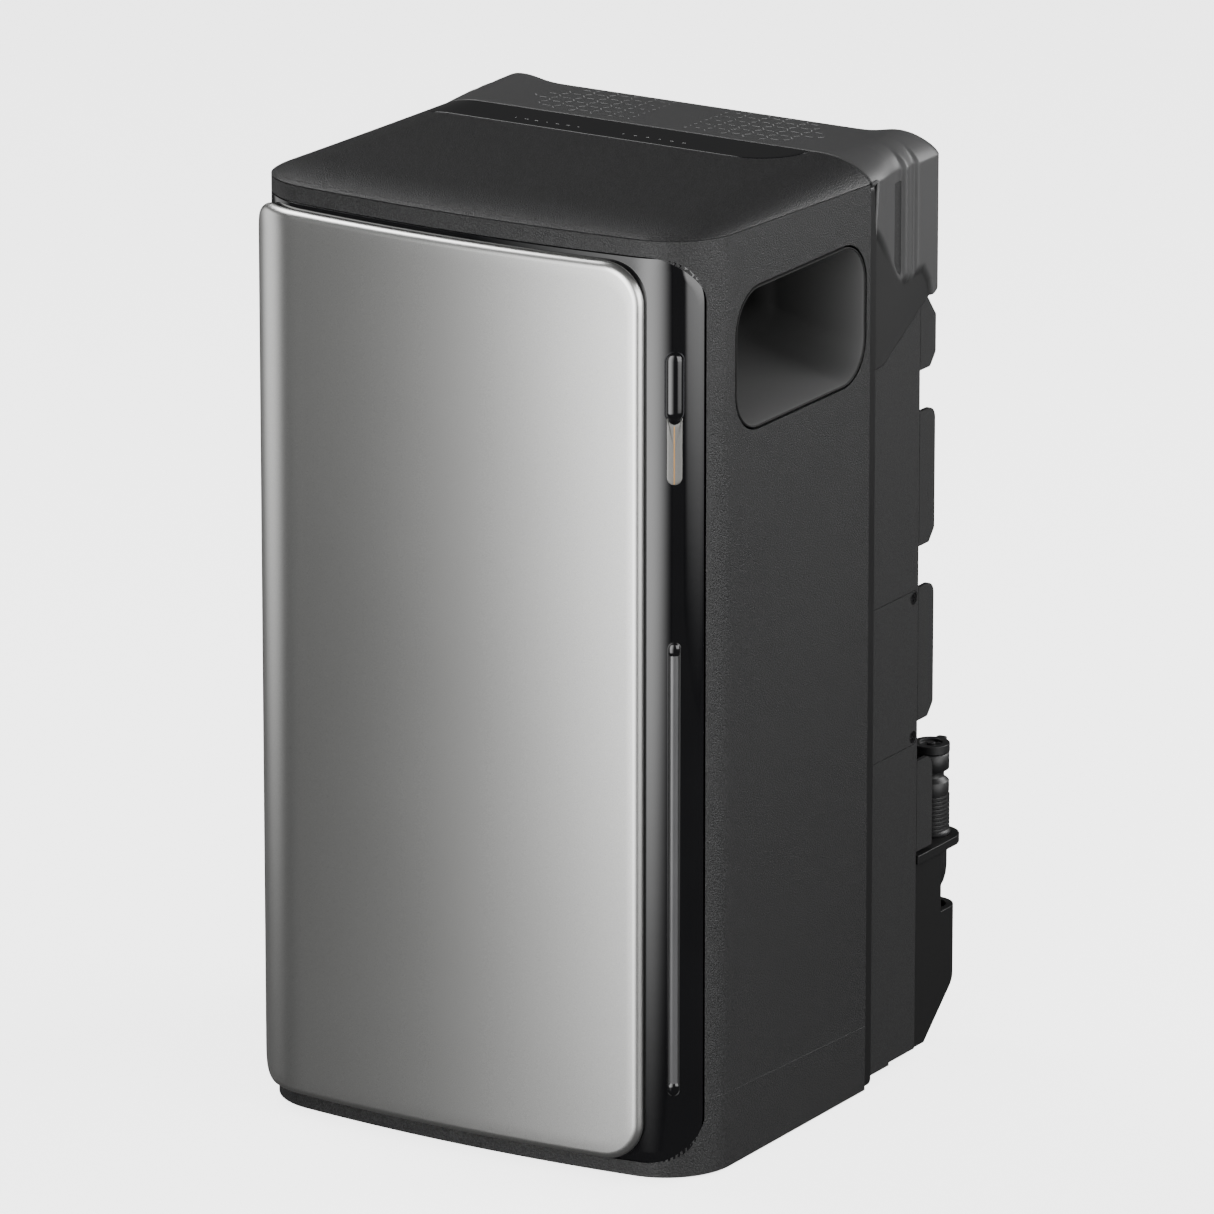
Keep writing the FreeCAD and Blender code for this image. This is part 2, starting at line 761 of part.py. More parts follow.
def make_battery_cells():
    cells = []
    for x0, low in cell_boxes():
        can = slab("y", x0, x0 + cell_width, low, low + cell_thickness, cell_front, cell_rear, 3)
        posts = [rod(7, V(x0 + cell_width * share, cell_rear - 1, low + cell_thickness / 2), V(0, 1, 0), 2)
                 for share in (0.22, 0.78)]
        cells.append(joined([can] + posts))
    return group(cells)


def make_cell_spacers():
    gap = cell_pitch - cell_thickness
    return group([block(x0 + 2, x0 + cell_width - 2, cell_front + 2, cell_rear - 2, low + cell_thickness,
                        low + cell_thickness + gap) for x0, low in cell_boxes()])


def make_end_plates():
    low_plate = block(-stack_x, stack_x, cell_front, cell_rear, cell_low - end_plate, cell_low)
    high_plate = block(-stack_x, stack_x, cell_front, cell_rear, stack_high, stack_high + end_plate)
    posts = [rod(3.5, V(x, y, stack_high + end_plate), V(0, 0, 1), bms_lift)
             for x in (-80, 80) for y in (cell_front + 25, cell_rear - 25)]
    return group([low_plate, joined([high_plate] + posts)])


def make_cell_straps():
    straps = []
    for share in (0.15, 0.5, 0.85):
        y = cell_front + cell_length * share
        strap = block(stack_x, stack_x + strap_thickness, y - strap_width / 2, y + strap_width / 2,
                      cell_low - end_plate, stack_high + end_plate)
        straps += both_sides(strap)
    return group(straps)


def make_busbars():
    bars = []
    for x0 in (-stack_x, 0.2):
        for level in range(cell_levels - 1):
            share = 0.22 if level % 2 else 0.78
            x = x0 + cell_width * share
            low = cell_low + level * cell_pitch + cell_thickness / 2 - 9
            bars.append(slab("y", x - 9, x + 9, low, low + cell_pitch + 18, cell_rear + 1, cell_rear + 2.5, 4))
    return group(bars)


def make_cell_tray():
    low, high = base_floor, base_floor + tray_height
    tray = block(-stack_x, stack_x, cell_front, cell_rear, low, high)
    rib, wide, long = 4.0, 2 * stack_x / 3, cell_length / 2
    pockets = [block(-stack_x + wide * i + rib, -stack_x + wide * (i + 1) - rib,
                     cell_front + long * j + rib, cell_front + long * (j + 1) - rib, low + 3, high + 1)
               for i in range(3) for j in range(2)]
    return tray.cut(pockets)


def board_with_parts(board, axis_out, chips):
    """Circuit board with low blocks standing on one face."""
    return joined([board] + [block(*chip) for chip in chips])


def make_bms_board():
    low = stack_high + end_plate + bms_lift
    board = block(-90, 90, cell_front + 12, cell_rear - 12, low, low + 1.6)
    chips = [block(x, x + 16, y, y + 16, low + 1.6, low + 4.6)
             for x in (-70, -30, 10, 50) for y in (cell_front + 40, cell_rear - 60)]
    shunt = block(-20, 20, cell_rear - 32, cell_rear - 18, low + 1.6, low + 9)
    return joined([board, shunt] + chips)


# ---- Power electronics --------------------------------------------------------------------------


def make_partition():
    front = rear_y - 1.5
    plate = block(-half_width + trim_width + 2, half_width - trim_width - 2, front, rear_y,
                  base_seam, trim_high - 15)
    for x in (-link_x, link_x):
        plate = plate.cut(rod(12, V(x, front - 1, link_z), V(0, 1, 0), 4))
    return plate


def make_link_grommets():
    rings = []
    for x in (-link_x, link_x):
        hole = slab("y", x - 5, x + 5, link_z - 2, link_z + 2, rear_y - 5, rear_y + 5)
        rings.append(rod(12, V(x, rear_y - 1.5, link_z), V(0, 1, 0), 1.5).fuse(
            rod(14, V(x, rear_y, link_z), V(0, 1, 0), 1.5)).removeSplitter().cut(hole))
    return group(rings)


def make_power_links():
    links = []
    for x in (-link_x, link_x):
        links.append(block(x - 5, x + 5, cell_rear + 2.5, board_y, link_z - 2, link_z + 2))
    return group(links)


def make_inverter_board():
    board = block(15 - housing_x, housing_x - 15, board_y, board_y + 1.6, inverter_low, inverter_high)
    chips = [block(x, x + 14, board_y - 3, board_y, inverter_low + 15, inverter_low + 29)
             for x in (-100, -70, -40, 40, 70)]
    chips += [block(x, x + 22, board_y - 12, board_y, inverter_high - 30, inverter_high - 12)
              for x in (-105, -60, 50, 85)]
    return joined([board] + chips)


def module_places():
    levels = [inverter_low + rise for rise in (40, 160, 280)]
    return [(x, z) for z in levels for x in (-90, -30, 30, 90)]


def make_power_modules():
    return group([block(x - 16, x + 16, board_y + 1.6, housing_inner_rear - pad_thickness, z - 22, z + 22)
                  for x, z in module_places()])


def make_thermal_pads():
    return group([block(x - 15, x + 15, housing_inner_rear - pad_thickness, housing_inner_rear, z - 21, z + 21)
                  for x, z in module_places()])


def make_capacitors():
    length = board_y - trim_rear - 4
    return group([rod(13, V(x, board_y, z), V(0, -1, 0), length)
                  for x in (-95, -63) for z in (inverter_low + 90, inverter_low + 122, inverter_low + 154)])


def make_inductors():
    length = board_y - trim_rear - 5
    coils = []
    places = [(x, inverter_low + rise) for rise in (120, 250) for x in (0, 70)]
    for x, z in places:
        start = V(x, board_y, z)
        coils.append(ring(26, 10, start, V(0, -1, 0), length))
    return group(coils)


def make_solar_board():
    board = block(socket_left + 8, socket_right - 8, board_y, board_y + 1.6, housing_low + housing_wall + 2,
                  socket_high + 2)
    chips = [block(x, x + 18, board_y - 9, board_y, socket_mid - 14, socket_mid + 14)
             for x in (-108, -80, 20, 50)]
    return joined([board] + chips)


def make_control_board():
    rear = rear_y - 1.5
    low, high = handle_low - 28, handle_high + 8
    board = block(-70, 70, rear - 8.6, rear - 7, low, high)
    posts = [rod(3, V(x, rear - 7, z), V(0, 1, 0), 7) for x in (-62, 62) for z in (low + 8, high - 8)]
    chips = [block(x, x + 15, rear - 11, rear - 8.6, z, z + 15)
             for x in (-50, -10, 30) for z in (low + 25, low + 65)]
    return joined([board] + posts + chips)


def make_antenna_board():
    high = handle_high + 12
    return block(-60, -20, rear_y - 4, rear_y - 1.5, high, high + 8)


def make_status_board():
    low = top_z - strip_thickness - 3 - 1.6
    board = block(strip_left + 26, strip_right - 22, strip_front + 5, rear_y - 6, low, low + 1.6)
    chips = [block(x, x + 8, strip_front + 10, strip_front + 18, low - 1.5, low)
             for x in (-70, -30, 10, 50)]
    return joined([board] + chips)


# ---- Rear sockets -------------------------------------------------------------------------------
solar_spots = [(x, z) for x in (-112, -88) for z in (38, 72)] + [(x, z) for x in (-66,) for z in (38, 72)]


def make_socket_panel():
    plate = slab("y", socket_left, socket_right, socket_low, socket_high, housing_rear, panel_face, 6)
    cuts = [rod(6.5, V(x, housing_rear - 1, z), V(0, 1, 0), 5) for x, z in solar_spots]
    cuts.append(rod(15, V(inlet_x, housing_rear - 1, socket_mid), V(0, 1, 0), 5))
    cuts.append(rod(outlet_rim, V(outlet_x, housing_rear - 1, socket_mid), V(0, 1, 0), 5))
    return plate.cut(cuts)


def make_solar_connectors():
    parts = []
    for x, z in solar_spots:
        start = V(x, housing_rear - 10, z)
        body = rod(6.5, start, V(0, 1, 0), 10 + 3 + 8)
        nut = slab("y", x - 8, x + 8, z - 8, z + 8, panel_face, panel_face + 3, 3)
        parts.append(joined([body, nut]))
    return group(parts)


def make_solar_caps():
    parts = []
    for x, z in solar_spots:
        start = V(x, panel_face + 3.2, z)
        cap = rod(8, start, V(0, 1, 0), 9).cut(rod(6.5, start, V(0, 1, 0), 4.8))
        parts.append(cap)
    return group(parts)


def make_grid_inlet():
    start = V(inlet_x, housing_rear - 14, socket_mid)
    body = rod(15, start, V(0, 1, 0), 14 + 3 + 6)
    flange = ring(19, 15, V(inlet_x, panel_face, socket_mid), V(0, 1, 0), 2.5)
    bore = rod(12, V(inlet_x, housing_rear - 6, socket_mid), V(0, 1, 0), 40)
    return joined([body, flange]).cut(bore)


def make_inlet_cap():
    plug = rod(12, V(inlet_x, panel_face - 4, socket_mid), V(0, 1, 0), 10)
    head = rod(17, V(inlet_x, panel_face + 6, socket_mid), V(0, 1, 0), 4)
    grip = block(inlet_x - 2, inlet_x + 2, panel_face + 10, panel_face + 14,
                 socket_mid - 12, socket_mid + 12)
    return joined([plug, head, grip])


def make_outlet_frame():
    half = outlet_size / 2
    frame = slab("y", outlet_x - half, outlet_x + half, socket_mid - half, socket_mid + half,
                 panel_face, outlet_face, 8)
    frame = frame.cut(rod(outlet_rim, V(outlet_x, panel_face - 1, socket_mid), V(0, 1, 0), 10))
    ears = []
    for x in (outlet_x - half + 6, outlet_x + half - 12):
        ears.append(block(x, x + 6, outlet_face - 1, lid_axis.y, lid_axis.z - 3.2, lid_axis.z + 3.2))
        ears.append(rod(3.2, V(x, lid_axis.y, lid_axis.z), V(1, 0, 0), 6))
    pin_hole = rod(lid_pin_radius, V(outlet_x - half, lid_axis.y, lid_axis.z), V(1, 0, 0), outlet_size)
    return joined([frame] + ears).cut(pin_hole)


def make_outlet_socket():
    start = V(outlet_x, outlet_face - outlet_depth - 3, socket_mid)
    cup = rod(outlet_rim, start, V(0, 1, 0), outlet_depth + 3)
    cup = cup.cut(rod(outlet_radius, start + V(0, 3, 0), V(0, 1, 0), outlet_depth + 1))
    holes = [rod(2.6, start + V(x, -1, 0), V(0, 1, 0), 6) for x in (-9.5, 9.5)]
    return cup.cut(holes)


def lid_span():
    half = outlet_size / 2
    return outlet_x - half + 12 + 0.4, outlet_x + half - 12 - 0.4


def make_outlet_lid():
    face = outlet_face + lid_gap
    low, high = socket_mid - lid_half, lid_axis.z - 4
    plate = slab("y", outlet_x - lid_half, outlet_x + lid_half, low, high, face, face + 3, 6)
    near, far = lid_span()
    neck = block(near, far, lid_axis.y - 2.2, lid_axis.y + 1.0, high - 4, lid_axis.z)
    barrel = rod(lid_barrel, V(near, lid_axis.y, lid_axis.z), V(1, 0, 0), far - near)
    start = V(near - 1, lid_axis.y, lid_axis.z)
    bore = rod(lid_pin_radius + running_gap, start, V(1, 0, 0), far - near + 2)
    return joined([plate, neck, barrel]).cut(bore)


def make_lid_pin():
    half = outlet_size / 2
    return rod(lid_pin_radius, V(outlet_x - half + 6, lid_axis.y, lid_axis.z), V(1, 0, 0), outlet_size - 12)


# ---- Parked plug and its bracket ------------------------------------------------------------------


def stadium(radius, low, high):
    """Upright block from the housing's rear wall, round-ended about the plug's axis."""
    return prism([(plug_x - radius, housing_rear), (plug_x + radius, housing_rear),
                  (plug_x + radius, plug_y + radius, radius - 0.01),
                  (plug_x - radius, plug_y + radius, radius - 0.01)], "z", low, high)


def make_plug_bracket():
    shelf = stadium(ring_radius, ring_top - ring_thickness, ring_top)
    web_x = plug_x + lobe_radius
    side = [(housing_rear, housing_low), (housing_rear + 13, housing_low), (plug_y + lobe_radius, lobe_low),
            (plug_y + lobe_radius, lobe_top), (plug_y - 10, lobe_top), (plug_y - 10, ring_top - 2),
            (housing_rear, ring_top - 2)]
    web = prism(side, "x", web_x - web_thickness, web_x).common(stadium(lobe_radius, housing_low, ring_top))
    lobe = stadium(lobe_radius, housing_low, lobe_top).common(prism(side, "x", -body_width, body_width))
    lobe = lobe.cut(block(-body_width, web_x - web_thickness, housing_rear + web_thickness, plug_y - 14,
                          housing_low - 1, lobe_top + 1))
    back = block(plug_x - lobe_radius, web_x, housing_rear, housing_rear + web_thickness,
                 housing_low, ring_top - 2)
    bracket = joined([shelf, web, lobe, back])
    axis = V(plug_x, plug_y, 0)
    hole = rod(plug_radius + plug_clearance, axis + V(0, 0, ring_top - 2 * ring_thickness), V(0, 0, 1), 20)
    cup = rod(cup_radius, axis + V(0, 0, lobe_low + 8), V(0, 0, 1), lobe_top)
    slot = block(plug_x - 6, plug_x + 6, housing_rear + 10, plug_y,
                 ring_top - ring_thickness - 1, ring_top + 1)
    return bracket.cut([hole, cup, slot])


def make_plug_body():
    outline = [
        (0, plug_tail), (5, plug_tail), (7.5, plug_tail + 3), (plug_radius - 0.7, plug_tail + 10),
        (plug_radius - 0.7, ring_top + 0.4), (plug_radius + plug_clearance + shoulder, ring_top + 0.4),
        (plug_radius + plug_clearance + shoulder, ring_top + 3), (plug_radius, ring_top + 4),
        (plug_radius, waist_low), (plug_radius - 3, waist_low + 1.5), (plug_radius - 3, head_low - 1),
        (plug_radius, head_low), (plug_radius, head_high), (0, head_high),
    ]
    points = [V(plug_x + r, plug_y, z) for r, z in outline]
    face = Part.Face(Part.makePolygon(points + points[:1]))
    body = face.revolve(V(plug_x, plug_y, 0), V(0, 0, 1), 360)
    ribs = [rod(plug_radius + 0.5, V(plug_x, plug_y, rib_low + 2.0 * n), V(0, 0, 1), 1.0) for n in range(8)]
    bore = rod(cap_stem + running_gap, V(plug_x, plug_y, head_low - 4), V(0, 0, 1), 30)
    return joined([body] + ribs).cut(bore)


def make_plug_cap():
    low = head_high + 0.3
    axis = V(plug_x, plug_y, 0)
    disc = rod(plug_radius + 0.5, axis + V(0, 0, low), V(0, 0, 1), 5)
    disc = disc.cut(ring(6.5, 2.5, axis + V(0, 0, low + 3.2), V(0, 0, 1), 3))
    tab = slab("z", plug_x - 3, plug_x + 3, plug_y + 8, plug_y + 14, low + 2.5, low + 5, 2)
    stem = rod(cap_stem, axis + V(0, 0, head_low - 1), V(0, 0, 1), head_high - head_low + 1.5)
    return joined([disc, tab, stem])


def make_base_screws():
    screws = []
    for place in base_screw_places():
        head_height = 0.8
        head = rod(2.8, place - V(0, 0, head_height), V(0, 0, 1), head_height)
        shank = rod(base_screw_radius, place, V(0, 0, 1), casing_wall)
        screws.append(joined([head, shank]))
    return group(screws)


def make_feet():
    return group([Part.makeCone(foot_radius - 0.8, foot_radius, foot_height, place) for place in foot_places()])


def make_housing_screws():
    return group([screw(screw_head, rear_head_height, screw_shank, 9, place + V(0, rear_head_height, 0),
                        V(0, -1, 0)) for place in housing_screw_places()])


# ---- Write every piece ----------------------------------------------------------------------------
cover_form = make_cover_form()
handle_cup = make_handle_cup()
service_cover = make_service_cover()

PIECES = {
    "main_casing": make_main_casing(),
    "base_casing": make_base_casing(),
    "top_cover": make_top_cover(cover_form),
    "status_strip": cover_form.common(strip_prism()),
    "trim_frame": make_trim_frame(),
    "housing_gasket": gasket_ring(),
    "front_fascia": make_front_fascia(),
    "panel_carrier": make_carrier(),
    "front_panel": make_panel(),
    "left_handle_cup": mirrored(handle_cup),
    "right_handle_cup": handle_cup,
    "rear_housing": make_rear_housing(),
    "heat_sink": make_heat_sink(),
    "fin_packs": make_fin_packs(),
    "left_service_cover": mirrored(service_cover),
    "right_service_cover": service_cover,
    "cover_screws": make_cover_screws(),
    "housing_screws": make_housing_screws(),
    "base_screws": make_base_screws(),
    "rubber_feet": make_feet(),
    "light_bar_frame": make_light_frame(),
    "light_bar_lens": make_light_lens(),
    "led_strip": make_led_strip(),
    "badge_plate": badge_form(corner_radius - fascia_thickness, corner_radius + 0.3),
    "button_bezel": make_bezel(),
    "power_button": make_power_button(),
    "button_board": make_button_board(),
    "cell_tray": make_cell_tray(),
    "battery_cells": make_battery_cells(),
    "cell_spacers": make_cell_spacers(),
    "cell_end_plates": make_end_plates(),
    "cell_straps": make_cell_straps(),
    "busbars": make_busbars(),
    "bms_board": make_bms_board(),
    "power_links": make_power_links(),
    "link_grommets": make_link_grommets(),
    "partition_plate": make_partition(),
    "inverter_board": make_inverter_board(),
    "power_modules": make_power_modules(),
    "thermal_pads": make_thermal_pads(),
    "bulk_capacitors": make_capacitors(),
    "power_inductors": make_inductors(),
    "solar_input_board": make_solar_board(),
    "control_board": make_control_board(),
    "antenna_board": make_antenna_board(),
    "status_board": make_status_board(),
    "socket_panel": make_socket_panel(),
    "solar_connectors": make_solar_connectors(),
    "solar_caps": make_solar_caps(),
    "grid_inlet": make_grid_inlet(),
    "grid_inlet_cap": make_inlet_cap(),
    "outlet_frame": make_outlet_frame(),
    "outlet_socket": make_outlet_socket(),
    "outlet_lid": make_outlet_lid(),
    "outlet_lid_pin": make_lid_pin(),
    "plug_bracket": make_plug_bracket(),
    "plug_body": make_plug_body(),
    "plug_cap": make_plug_cap(),
    "rain_hood": make_rain_hood(),
    "hood_bumpers": make_hood_bumpers(),
}

for piece_name, piece_shape in PIECES.items():
    save(piece_name, piece_shape)
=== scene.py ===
"""Looks of an upright plug-in home battery, built round its fixed CAD frame.

The frame gives every place. New pieces are surfaces worked out with numpy: an outline on the body's
curved front is carried through a profile, or a grid of two parameters is lifted by a formula. Every
length is in metres, the front faces -Y, the right-hand side is +X and +Z is up.
"""

import json
import math
from collections import namedtuple

import bmesh
import bpy
import numpy as np
from bpy.props import FloatProperty, FloatVectorProperty, PointerProperty
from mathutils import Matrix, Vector


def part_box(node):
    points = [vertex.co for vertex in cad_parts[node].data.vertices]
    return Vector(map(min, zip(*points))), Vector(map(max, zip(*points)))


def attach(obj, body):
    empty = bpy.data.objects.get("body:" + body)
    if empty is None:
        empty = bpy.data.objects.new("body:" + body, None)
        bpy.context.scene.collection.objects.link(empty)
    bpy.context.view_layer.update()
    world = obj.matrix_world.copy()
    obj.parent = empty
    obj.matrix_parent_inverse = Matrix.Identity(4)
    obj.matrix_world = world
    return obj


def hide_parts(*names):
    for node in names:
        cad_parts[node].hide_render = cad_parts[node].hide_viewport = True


bl_info = {
    "name": "Home battery looks",
    "version": (1, 0, 0),
    "blender": (4, 5, 0),
    "location": "View3D > Sidebar > Battery",
    "description": "Builds the visible surfaces and finishes of an upright home battery",
    "category": "Object",
}

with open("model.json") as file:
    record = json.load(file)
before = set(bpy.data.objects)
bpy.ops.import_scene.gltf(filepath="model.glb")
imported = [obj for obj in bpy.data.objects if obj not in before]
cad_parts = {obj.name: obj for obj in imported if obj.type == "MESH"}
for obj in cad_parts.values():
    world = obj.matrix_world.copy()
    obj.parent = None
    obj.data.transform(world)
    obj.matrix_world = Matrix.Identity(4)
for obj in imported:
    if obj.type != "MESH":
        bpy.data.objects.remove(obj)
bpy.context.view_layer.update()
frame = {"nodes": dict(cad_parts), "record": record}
MM = 0.001


# ---- Places that the frame gives ------------------------------------------------------------------
def span(node):
    """Lowest and highest corner of a CAD node."""
    low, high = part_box(node)
    return tuple(map(float, low)), tuple(map(float, high))


CASING_LOW, CASING_HIGH = span("main_casing")
_, COVER_HIGH = span("top_cover")
PANEL_LOW, PANEL_HIGH = span("front_panel")
FASCIA_LOW, FASCIA_HIGH = span("front_fascia")
HOOD_LOW, HOOD_HIGH = span("rain_hood")
STRIP_LOW, STRIP_HIGH = span("status_strip")
BUTTON_LOW, BUTTON_HIGH = span("power_button")
BADGE_LOW, _ = span("badge_plate")
LENS_LOW, LENS_HIGH = span("light_bar_lens")
LIGHT_LOW, LIGHT_HIGH = span("light_bar_frame")
CUP_LOW, CUP_HIGH = span("right_handle_cup")
_, TRIM_HIGH = span("trim_frame")
PLUG_LOW, PLUG_HIGH = span("plug_body")

HALF_WIDTH = CASING_HIGH[0]
FRONT_Y = CASING_LOW[1]
REAR_Y = CASING_HIGH[1]
SEAM_Z = CASING_HIGH[2]
TOP_Z = COVER_HIGH[2]
PANEL_PROUD = FRONT_Y - PANEL_LOW[1]
TOP_FULLNESS = 0.94           # share of a quarter circle that the top's roll turns through
HOOD_FULLNESS = 0.97          # the same for the hood's roll
HOOD_ROLL = 22 * MM           # width of the roll round the hood's rear
HOOD_DROP = 13 * MM           # height that the hood's roll takes
HOOD_COLUMNS = 92             # points across the hood
TRIM_STEP = 0.8 * MM          # how far the trim stands over the seam behind it
SKIN = 0.6 * MM               # how far the top's new surface stands over the CAD cover


# ---- Sizes and colours that a user would change -----------------------------------------------------
def length(name, text, value):
    return FloatProperty(name=name, description=text, default=value, unit="LENGTH", precision=5)


def colour(name, text, value):
    return FloatVectorProperty(name=name, description=text, default=value, subtype="COLOR", size=3,
                               min=0.0, max=1.0)


class BodyShape(bpy.types.PropertyGroup):
    corner: length("Corner radius", "Radius of the vertical front corners", 40 * MM)
    bow: length("Bow", "How far the front's crown stands ahead of its sides", 10.6 * MM)
    roll: length("Top roll", "Width of the soft roll round the top", 34 * MM)


class FrontShape(bpy.types.PropertyGroup):
    panel_corner: length("Panel corner", "Corner radius of the metal panel", 22 * MM)
    panel_edge: length("Panel edge", "Radius of the panel's rolled edge", 4.5 * MM)
    fascia_corner: length("Fascia corner", "Corner radius of the gloss fascia", 25 * MM)
    control_turn: FloatProperty(name="Control line", description="Angle round the corner of the button line",
                                default=math.radians(37), subtype="ANGLE")
    button_width: length("Button width", "Width of the power button and the badge", 8.3 * MM)
    button_gap: length("Button gap", "Gap round the power button", 0.35 * MM)
    lens_width: length("Lens width", "Width of the light bar's lens", 4.4 * MM)


class RearShape(bpy.types.PropertyGroup):
    pleat: length("Pleat", "Depth of the two upright pleats in the hood's sides", 3.0 * MM)
    horn: length("Horn", "Rise of the hood's rear corners", 4.2 * MM)
    dash: length("Dash", "Length of a stroke in the hood's top pattern", 4.6 * MM)
    handle_corner: length("Hand hold corner", "Corner radius of the hand holds", 22 * MM)


class Finish(bpy.types.PropertyGroup):
    casing: colour("Casing", "Grained black plastic", (0.009, 0.009, 0.0092))
    hood: colour("Hood", "Smooth dark grey plastic", (0.052, 0.052, 0.0525))
    panel: colour("Panel", "Satin metal", (0.80, 0.80, 0.78))
    cast: colour("Casting", "Powder-coated metal", (0.005, 0.005, 0.0052))
    gloss: colour("Gloss", "Gloss black plastic", (0.004, 0.004, 0.0045))
    badge: colour("Badge", "Satin silver", (0.27, 0.266, 0.255))


class StageShape(bpy.types.PropertyGroup):
    eye: FloatVectorProperty(name="Eye", description="Camera position", subtype="TRANSLATION",
                             default=(3.0596, -4.9921, 2.0428))
    aim: FloatVectorProperty(name="Aim", description="Point the camera looks at", subtype="TRANSLATION",
                             default=(0.008404, 0.005131, 0.270764))
    lens: FloatProperty(name="Lens", description="Focal length in millimetres", default=335.1)
    floor: length("Floor", "Half of the floor's width", 30.0)
    key: FloatProperty(name="Light", description="Share of every softbox's glow", default=1.0, subtype="FACTOR")
    room: FloatProperty(name="Room", description="Brightness of the room round the softboxes", default=0.06)
    floor_glow: FloatProperty(name="Floor glow", description="Glow that lifts the floor to white", default=3.2)


# ---- Outline of the body --------------------------------------------------------------------------
def body():
    return bpy.context.scene.battery_body


def front():
    return bpy.context.scene.battery_front


def rear():
    return bpy.context.scene.battery_rear


def finish():
    return bpy.context.scene.battery_finish


Outline = namedtuple("Outline", "bow_radius bow_y corner_x corner_y turn bow_length corner_length")


def outline_facts():
    """Bow radius and centre, corner centre, the angle where they meet, and both lengths along the outline."""
    corner, bow = body().corner, body().bow
    bow_radius = (HALF_WIDTH**2 + bow**2) / (2 * bow)
    bow_y = FRONT_Y + bow_radius
    corner_x = HALF_WIDTH - corner
    turn = math.asin(corner_x / (bow_radius - corner))
    corner_y = bow_y - (bow_radius - corner) * math.cos(turn)
    corner_length = corner * (math.pi / 2 - turn)
    return Outline(bow_radius, bow_y, corner_x, corner_y, turn, bow_radius * turn, corner_length)


def along_corner(angle):
    """Distance along the outline, from the crown, of a direction round the right-hand front corner."""
    facts = outline_facts()
    return facts.bow_length + body().corner * (angle - facts.turn)


def along_side(y):
    """Distance along the outline of a point on the straight side."""
    facts = outline_facts()
    return facts.bow_length + facts.corner_length + (y - facts.corner_y)


def on_body(s, z, lift):
    """Points of the body's side: s metres round from the front's crown, z up, lift out of the surface.

    The outline is a shallow bow, then a corner arc, then a straight side, mirrored for negative s.
    """
    bow_radius, bow_y, corner_x, corner_y, turn, bow_length, corner_length = outline_facts()
    s, z, lift = np.broadcast_arrays(np.asarray(s, float), np.asarray(z, float), np.asarray(lift, float))
    side, reach = np.sign(s), np.abs(s)
    on_bow = reach < bow_length
    on_arc = (~on_bow) & (reach < bow_length + corner_length)
    round_corner = np.minimum(turn + (reach - bow_length) / body().corner, math.pi / 2)
    angle = np.where(on_bow, reach / bow_radius, round_corner)
    radius = np.where(on_bow, bow_radius, body().corner) + lift
    x = np.where(on_bow, 0.0, corner_x) + radius * np.sin(angle)
    y = np.where(on_bow, bow_y, corner_y) - radius * np.cos(angle)
    straight = ~(on_bow | on_arc)
    y = np.where(straight, corner_y + (reach - bow_length - corner_length), y)
    return np.stack([x * np.where(side == 0, 1, side), y, z], axis=-1)


def inset_at(x, y):
    """How far inside the body's outline, front and sides only, a point seen from above lies."""
    bow_radius, bow_y, corner_x, corner_y, turn, _, _ = outline_facts()
    wide = np.abs(x)
    inset = np.minimum(HALF_WIDTH - wide, bow_radius - np.hypot(x, y - bow_y))
    angle = np.arctan2(wide - corner_x, -(y - corner_y))
    cornered = (angle > turn) & (angle < math.pi / 2)
    arc = body().corner - np.hypot(wide - corner_x, y - corner_y)
    return np.where(cornered, np.minimum(inset, arc), inset)


def soften(share, fullness):
    """Fall of a roll, from 0 at its inner edge to 1 at its rim: part of a circle's arc."""
    return (1 - np.sqrt(1 - (fullness * share)**2)) / (1 - np.sqrt(1 - fullness**2))


def seam_height(y):
    """Height of the sloping seam under the top cover."""
    slope = (SEAM_Z - (TRIM_HIGH[2] - TRIM_STEP)) / (REAR_Y - FRONT_Y)
    return SEAM_Z - slope * (y - FRONT_Y)


def top_height(x, y):
    """Height of the top: an arc from the sloping seam up to the flat."""
    share = np.clip(inset_at(x, y) / body().roll, 0, 1)
    return TOP_Z - (TOP_Z - seam_height(y)) * soften(1 - share, TOP_FULLNESS)


# ---- Mesh building --------------------------------------------------------------------------------
def make_object(name, points, faces, smooth=True, normals=True, weld=1e-6, upward=False, tone=None):
    """Object at the origin from points and faces, with doubles merged and faces turned outwards.

    An open surface with upward set faces up; tone is the name and values of a point attribute.
    """
    mesh = bpy.data.meshes.new(name)
    mesh.from_pydata(np.asarray(points).reshape(-1, 3).tolist(), [], faces)
    if tone:
        mesh.attributes.new(tone[0], "FLOAT", "POINT").data.foreach_set("value", tone[1])
    work = bmesh.new()
    work.from_mesh(mesh)
    bmesh.ops.remove_doubles(work, verts=work.verts, dist=weld)
    bmesh.ops.dissolve_degenerate(work, dist=1e-7, edges=work.edges)
    if normals:
        bmesh.ops.recalc_face_normals(work, faces=work.faces)
    if upward and sum(face.normal.z * face.calc_area() for face in work.faces) < 0:
        bmesh.ops.reverse_faces(work, faces=work.faces)
    work.to_mesh(mesh)
    work.free()
    mesh.polygons.foreach_set("use_smooth", [smooth] * len(mesh.polygons))
    obj = bpy.data.objects.new(name, mesh)
    bpy.context.scene.collection.objects.link(obj)
    return obj


def grid_faces(rows, columns, loop=False, start=0):
    """Quads of a grid of points; loop joins the last column to the first."""
    wide = columns if loop else columns - 1
    i, j = np.meshgrid(np.arange(rows - 1), np.arange(wide), indexing="ij")
    k = (j + 1) % columns
    quads = np.stack([i * columns + j, i * columns + k, (i + 1) * columns + k, (i + 1) * columns + j], -1)
    return (quads.reshape(-1, 4) + start).tolist()


def crease(obj, degrees):
    """Keep edges sharper than an angle crisp in the shading."""
    obj.data.set_sharp_from_angle(angle=math.radians(degrees))
    return obj


